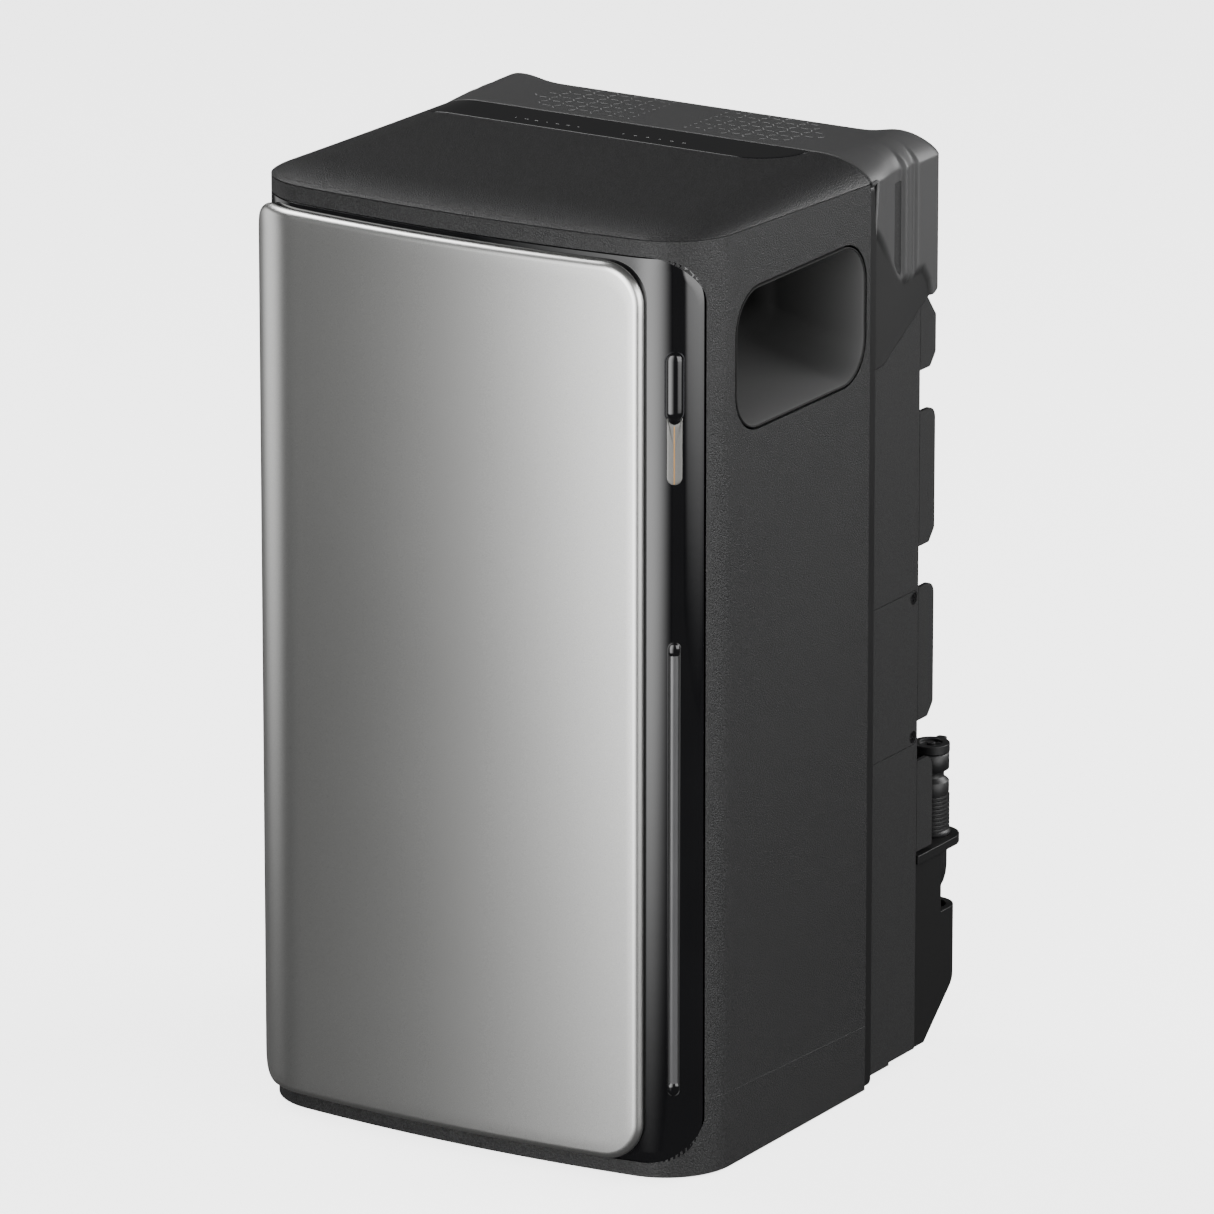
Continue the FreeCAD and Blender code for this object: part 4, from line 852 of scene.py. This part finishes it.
class BuildHandles(bpy.types.Operator):
    """Deep hand-hold cups with a thin lip, a swept floor and a round end"""
    bl_idname = "battery.build_handles"
    bl_label = "Hand holds"

    def execute(self, context):
        for side, name in ((1, "right"), (-1, "left")):
            cup = self.cup(name + "_cup_skin", side)
            settle(cup, "housing", "cover_black", name + "_handle_cup", look="cup")
        return {"FINISHED"}

    def cup(self, name, side):
        """Rounded outline carried inwards: depth w draws the walls in and sweeps the floor up as w**1.4."""
        wall, clearance, floor_sweep, closing_rings = 2.2 * MM, 4 * MM, 30 * MM, 8
        y0, y1 = CUP_LOW[1] + wall, CUP_HIGH[1] - wall
        z0, z1 = CUP_LOW[2] + wall, CUP_HIGH[2] - wall
        points, outs = rounded_outline(y0, y1, z0, z1, rear().handle_corner, (40, 16), 16)
        depth = HALF_WIDTH - CUP_LOW[0] - clearance
        lip_inset = np.array([-0.9, -0.9, -0.6, -0.3, -0.1]) * MM
        lip_out = np.array([-3.0, -0.2, 0.05, 0.02, -0.2]) * MM
        share = np.linspace(0.02, 1, 34)
        draw = 7 * MM * share**2 + 12 * MM * np.clip((share - 0.72) / 0.28, 0, 1)**2
        inset = np.concatenate([lip_inset, draw])
        out = np.concatenate([lip_out, -depth * np.sin(share * math.pi / 2)**1.15])
        flat = points[None] - inset[:, None, None] * outs[None]
        swept = 0.7 * (z1 - z0)
        low_share = np.clip((z0 + swept - flat[..., 1]) / swept, 0, 1)
        sweep = floor_sweep * np.concatenate([np.zeros(len(lip_inset)), share**1.4])[:, None] * low_share
        x = HALF_WIDTH + np.broadcast_to(out[:, None], flat.shape[:2])
        walls = np.stack([x, flat[..., 0], flat[..., 1] + sweep], -1)
        closing = np.linspace(0, 1, closing_rings + 1)[1:, None, None]
        grid = np.concatenate([walls, walls[-1] + (walls[-1].mean(0) - walls[-1]) * closing])
        grid[..., 0] *= side
        # painted light and shade for the cup's colour: lightest on the floor near the opening, darkest deep
        # inside, with the lip rings held dark
        painted_shade_share = np.concatenate([np.full(len(lip_inset), 0.7), share, np.ones(closing_rings)])**0.4
        tone = np.repeat(painted_shade_share.astype(np.float32), grid.shape[1])
        faces = grid_faces(*grid.shape[:2], loop=True)
        cup = make_object(name, grid, faces, normals=False, tone=("depth", tone))
        if side < 0:
            cup.data.flip_normals()
        return cup


class BuildHood(bpy.types.Operator):
    """Rain hood with raised rear corners, two upright pleats and a scoop on each side"""
    bl_idname = "battery.build_hood"
    bl_label = "Rain hood"

    def execute(self, context):
        settle(self.shell(), "hood", "hood_grey", "rain_hood")
        settle(self.dashes(), "hood", "hood_grey", look="dash")
        return {"FINISHED"}

    def height(self, x, y):
        """Top of the hood: a slow fall to the rear and a soft ridge up to each rear corner."""
        back = np.clip((y - REAR_Y) / (HOOD_HIGH[1] - REAR_Y), 0, 1)
        flat = TOP_Z - 2.6 * MM * back
        ridge_x, ridge_width = 119 * MM, 12 * MM
        ridge = np.exp(-((np.abs(x) - ridge_x) / ridge_width)**2) * back**1.5
        return flat + rear().horn * ridge

    def scoop_edge(self, y):
        """Height of the scoop's upper edge at y."""
        knots = np.array([66.0, 70.0, 94.0, 101.5, 111.0, 118.7, 125.3, 128.5, 141.0]) * MM
        upper = np.array([487.0, 485.0, 457.0, 452.5, 454.5, 455.5, 447.0, 436.0, 425.0]) * MM
        return np.interp(y, knots, upper)

    def lower_edge(self, y):
        """Height of the skirt's lower edge at y, over the trim at the front."""
        knots = np.array([66.0, 78.0, 125.5, 138.0, 141.0]) * MM
        heights = HOOD_LOW[2] + np.array([0.0, 0.6, 27.8, 33.0, 34.0]) * MM
        over_trim = TRIM_HIGH[2] + 0.5 * MM
        return np.where(y < TRIM_HIGH[1] + 0.4 * MM, over_trim, np.interp(y, knots, heights))

    def path(self):
        """Plan of the wall, round the right side, the rear and the left side, with its normals."""
        wide, back, start, trim = HOOD_HIGH[0], HOOD_HIGH[1], REAR_Y + 0.4 * MM, TRIM_HIGH[1]
        corner = 9 * MM
        side_y = np.concatenate([[start, start + 3 * MM, trim + 0.39 * MM],
                                 np.linspace(trim + 0.41 * MM, back - corner, 88)])
        angle = np.linspace(0, math.pi / 2, 14)[1:]
        arc = np.stack([np.cos(angle), np.sin(angle)], -1)
        right = np.concatenate([np.stack([np.full(len(side_y), wide), side_y], -1),
                                arc * corner + [wide - corner, back - corner]])
        right_out = np.concatenate([np.tile([1.0, 0.0], (len(side_y), 1)), arc])
        rear_x = np.linspace(wide - corner, corner - wide, HOOD_COLUMNS)[1:-1]
        straight = np.stack([rear_x, np.full(len(rear_x), back)], -1)
        plan = np.concatenate([right, straight, right[::-1] * [-1, 1]])
        outs = np.concatenate([right_out, np.tile([0.0, 1.0], (len(rear_x), 1)), right_out[::-1] * [-1, 1]])
        return plan, outs, len(right)

    def shell(self):
        """Wall by height along the path, a roll over its top and a grid across the flat.

        The wall is pushed in by two saw-tooth pleats and by the scoop. The roll moves each point from
        the wall to the flat's border and lifts it by an arc; it starts as wide and as soft as the top
        cover's own and tightens to the rear.
        """
        plan, outs, side = self.path()
        stations = [REAR_Y, REAR_Y + 26 * MM]
        roll = np.interp(plan[:, 1], stations, [body().roll, HOOD_ROLL])
        full = np.interp(plan[:, 1], stations, [TOP_FULLNESS, HOOD_FULLNESS])
        high = np.interp(plan[:, 1], stations, [seam_height(REAR_Y), TOP_Z - HOOD_DROP])
        low = self.lower_edge(plan[:, 1])
        hem = np.array([0, 0.5, 1.0, 1.5, 2.0, 2.6, 3.3])[:, None] * MM
        hem = hem * np.clip((high - low) / (40 * MM), 0, 1)
        climb = (high - low - hem[-1]) * np.linspace(0, 1, 76)[:, None]
        z = np.concatenate([low + hem[:-1], low + hem[-1] + climb])
        push, scoop = self.relief(np.broadcast_to(plan[:, 1], z.shape), z)
        aside = np.abs(outs[:, 0])
        push *= aside
        wall = np.concatenate([plan[None] - outs[None] * push[..., None], z[..., None]], -1)
        border = HOOD_HIGH[0] - roll
        inner = np.stack([np.sign(plan[:, 0]) * border, np.minimum(plan[:, 1], HOOD_HIGH[1] - HOOD_ROLL)], -1)
        columns = np.linspace(1, -1, HOOD_COLUMNS)
        inner[side:-side, 0] = columns[1:-1] * border[side]
        share = (1 - np.linspace(0, 1, 24)[1:]**1.4)[:, None]
        flat = plan[None] + (inner - plan)[None] * (1 - share)[..., None]
        flat -= outs[None] * (push[-1][None] * share**1.5)[..., None]
        lifted = high + (self.height(flat[..., 0], flat[..., 1]) - high) * (1 - soften(share, full))
        sides = np.concatenate([wall, np.concatenate([flat, lifted[..., None]], -1)])
        kept = np.flatnonzero(np.diff(inner[:side, 1], prepend=-1) > 1e-6)
        x = columns[None] * border[kept][:, None]
        y = np.broadcast_to(inner[kept, 1][:, None], x.shape)
        top = np.stack([x, y, self.height(x, y)], -1)
        count = sides.shape[0] * sides.shape[1]
        faces = grid_faces(*sides.shape[:2]) + grid_faces(*top.shape[:2], start=count)
        tone = np.zeros(count + x.size, np.float32)
        # the scoop mask also carries painted shade into the hood's colour through the scoop attribute
        tone[:scoop.size] = (scoop * aside).ravel()
        points = np.concatenate([sides.reshape(-1, 3), top.reshape(-1, 3)])
        hood = make_object("hood_skin", points, faces, weld=3e-6, upward=True, tone=("scoop", tone))
        return walled(hood, 2.0 * MM)

    def relief(self, y, z):
        """How far the wall is pushed in: two saw-tooth pleats above the scoop, and the scoop itself."""
        def ramp(value, begin, end):
            t = np.clip((value - begin) / (end - begin), 0, 1)
            return t * t * (3 - 2 * t)

        edge = self.scoop_edge(y)
        first = ramp(y, 72 * MM, 96 * MM) * (1 - ramp(y, 97 * MM, 99.5 * MM))
        second = 0.8 * ramp(y, 99.5 * MM, 110 * MM) * (1 - ramp(y, 110 * MM, 112.5 * MM))
        scoop = 1 - ramp(z, edge - 5 * MM, edge + 1.0 * MM)
        scoop_depth, deepest = 1.9 * MM, 3.1 * MM
        pleats = rear().pleat * (first + second) * (1 - scoop)
        return np.clip(pleats + scoop_depth * scoop, 0, deepest), scoop

    def dashes(self):
        """Edges of a flattened honeycomb drawn as short strokes that thin out towards the middle."""
        edge, row = 8.0 * MM, 10.7 * MM
        begin, low, high, middle = 68 * MM, 67 * MM, 124 * MM, 92 * MM
        half_band, blank, stroke = 94 * MM, 0.16, 0.62 * MM
        slant = math.atan2(row / 2, edge / 2)
        bars = []
        for column in range(-8, 9):
            for step in range(7):
                x = 1.5 * edge * column
                y = begin + row * (step + 0.5 * (column % 2))
                strokes = ((x, y + row / 2, 0.0, 1.0), (x + 0.75 * edge, y + row / 4, -slant, 0.82),
                           (x - 0.75 * edge, y + row / 4, slant, 0.82))
                for u, v, turn, long in strokes:
                    near = abs(u) / half_band
                    if low < v < high and blank < near < 1 - 0.3 * abs(v - middle) / (32 * MM):
                        full = 0.45 + 0.55 * min(1.0, (near - blank) / 0.35)
                        bars.append((u, v, rear().dash * long * full, stroke * (0.5 + 0.5 * full), turn))
        return flat_bars("hood_dashes", bars, 0.02 * MM, 0.06 * MM, self.height)


class BuildPlug(bpy.types.Operator):
    """Parked plug with grip ribs and its quarter-turn seal cap"""
    bl_idname = "battery.build_plug"
    bl_label = "Plug"

    def execute(self, context):
        axis = [(low + high) / 2 for low, high in zip(PLUG_LOW, PLUG_HIGH)]
        skin = crease(turned("plug_skin", np.array(self.profile()) * MM, axis), 45)
        settle(skin, "plug", "connector_black", "plug_body")
        settle(refined("plug_cap", "plug_cap_skin", 0.4 * MM), "cap", "connector_black", "plug_cap")
        return {"FINISHED"}

    def profile(self):
        """Radius and height in millimetres of the tail, the collar, the grip ribs and the head."""
        low, high = PLUG_LOW[2] / MM, PLUG_HIGH[2] / MM
        shelf, waist = low + 31, high - 16
        points = [(0, low), (4.4, low), (6.4, low + 1), (7.6, low + 3.4), (8.8, low + 8), (9.25, low + 13)]
        collar = ((9.3, 0.3), (11.0, 0.3), (11.2, 0.6), (11.2, 1.6), (10.6, 2.0), (10.3, 2.4))
        rib = ((9.9, 0.0), (10.55, 0.3), (10.6, 0.8), (10.5, 1.3), (9.9, 1.6))
        points += [(radius, shelf + rise) for radius, rise in collar]
        points += [(radius, shelf + 3.0 + 2.3 * turn + rise) for turn in range(9) for radius, rise in rib]
        points.append((10.2, shelf + 25))
        neck = ((10.2, -0.6), (9.8, 0.0), (7.6, 1.8), (7.4, 2.2), (7.4, 5.6), (7.7, 6.0), (9.8, 6.3),
                (10.2, 6.8))
        points += [(radius, waist + rise) for radius, rise in neck]
        return points + [(10.2, high - 0.5), (9.8, high - 0.1), (5.2, high - 0.1)]


class BuildStage(bpy.types.Operator):
    """Pale floor, soft lights and the camera"""
    bl_idname = "battery.build_stage"
    bl_label = "Stage"

    def execute(self, context):
        stage = context.scene.battery_stage
        floor = make_object("floor", stage.floor * SQUARE, [(0, 1, 2, 3)], smooth=False)
        made = Shader("floor_white", Roughness=0.9, Specular_IOR_Level=0.0, Emission_Strength=stage.floor_glow)
        made.feed("Base Color", made.blend(made.noise(0.6), (0.87, 0.87, 0.87), (0.9, 0.9, 0.9)))
        made.feed("Emission Color", made.blend(made.noise(0.6), (1.0, 1.0, 1.0), (0.98, 0.98, 0.98)))
        floor.data.materials.append(made.material)
        for kind in ("glossy", "diffuse", "shadow"):
            setattr(floor, "visible_" + kind, False)
        self.camera(context, stage)
        world = bpy.data.worlds.new("soft_room")
        world.use_nodes = True
        background = world.node_tree.nodes["Background"].inputs
        background["Color"].default_value = (1.0, 1.0, 1.0, 1)
        background["Strength"].default_value = stage.room
        context.scene.world = world
        for name, turn, rise, reach, size, glow, fade in SOFTBOXES:
            self.softbox(name, turn, rise, reach, size, glow * stage.key, fade)
        return {"FINISHED"}

    def camera(self, context, stage):
        data = bpy.data.cameras.new("camera")
        data.lens = stage.lens
        data.sensor_width = 36.0
        data.clip_end = 200.0
        camera = bpy.data.objects.new("camera", data)
        context.scene.collection.objects.link(camera)
        camera.location = stage.eye
        camera.rotation_euler = (Vector(stage.aim) - Vector(stage.eye)).to_track_quat("-Z", "Y").to_euler()
        context.scene.camera = camera

    def softbox(self, name, turn, rise, reach, size, glow, fade):
        """Glowing card, fading to its edges, turned and raised from straight ahead of the part's middle."""
        middle = Vector((0.0, 0.0, 0.27))
        turn, rise = math.radians(turn), math.radians(rise)
        toward = Vector((math.sin(turn) * math.cos(rise), -math.cos(turn) * math.cos(rise), math.sin(rise)))
        card = make_object(name, SQUARE, [(0, 1, 2, 3)], smooth=False)
        card.location = middle + reach * toward
        card.rotation_euler = (-toward).to_track_quat("-Z", "Y").to_euler()
        card.scale = (size[0] / 2, size[1] / 2, 1.0)
        card.visible_camera = False
        card.visible_shadow = False
        made = Shader(name + "_glow", Base_Color=(0, 0, 0, 1), Roughness=1.0, Specular_IOR_Level=0.0,
                      Emission_Strength=glow)
        shares = []
        for axis, soft in zip("XY", fade):
            across = made.node("ShaderNodeSeparateXYZ", {}, {"Vector": made.place()}, axis)
            outward = made.node("ShaderNodeMath", {"operation": "ABSOLUTE"}, {0: across})
            facts = {"Value": outward, "From Min": 1 - soft, "From Max": 1.0, "To Min": 1.0, "To Max": 0.0}
            shares.append(made.node("ShaderNodeMapRange", {"interpolation_type": "SMOOTHSTEP"}, facts))
        made.feed("Emission Color", shares[0] * shares[1])
        card.data.materials.append(made.material)


class BatteryPanel(bpy.types.Panel):
    """Sidebar panel that lists the builders and the sizes"""
    bl_idname = "VIEW3D_PT_battery"
    bl_label = "Home battery"
    bl_space_type = "VIEW_3D"
    bl_region_type = "UI"
    bl_category = "Battery"

    def draw(self, context):
        for operator in OPERATORS:
            self.layout.operator(operator.bl_idname)
        for name in GROUPS:
            box = self.layout.box()
            group = getattr(context.scene, name)
            for key in group.bl_rna.properties.keys():
                if key not in ("rna_type", "name"):
                    box.prop(group, key)


OPERATORS = (PaintFrame, BuildShell, BuildTop, BuildFront, BuildControls, BuildHandles, BuildHood, BuildPlug,
             BuildStage)
GROUPS = {"battery_body": BodyShape, "battery_front": FrontShape, "battery_rear": RearShape,
          "battery_finish": Finish, "battery_stage": StageShape}


def register():
    for kind in (*GROUPS.values(), *OPERATORS, BatteryPanel):
        bpy.utils.register_class(kind)
    for name, kind in GROUPS.items():
        setattr(bpy.types.Scene, name, PointerProperty(type=kind))


def unregister():
    for name in GROUPS:
        delattr(bpy.types.Scene, name)
    for kind in reversed((*GROUPS.values(), *OPERATORS, BatteryPanel)):
        bpy.utils.unregister_class(kind)


def main():
    register()
    for operator in OPERATORS:
        getattr(bpy.ops.battery, operator.bl_idname.split(".")[1])()


if __name__ == "__main__":
    main()
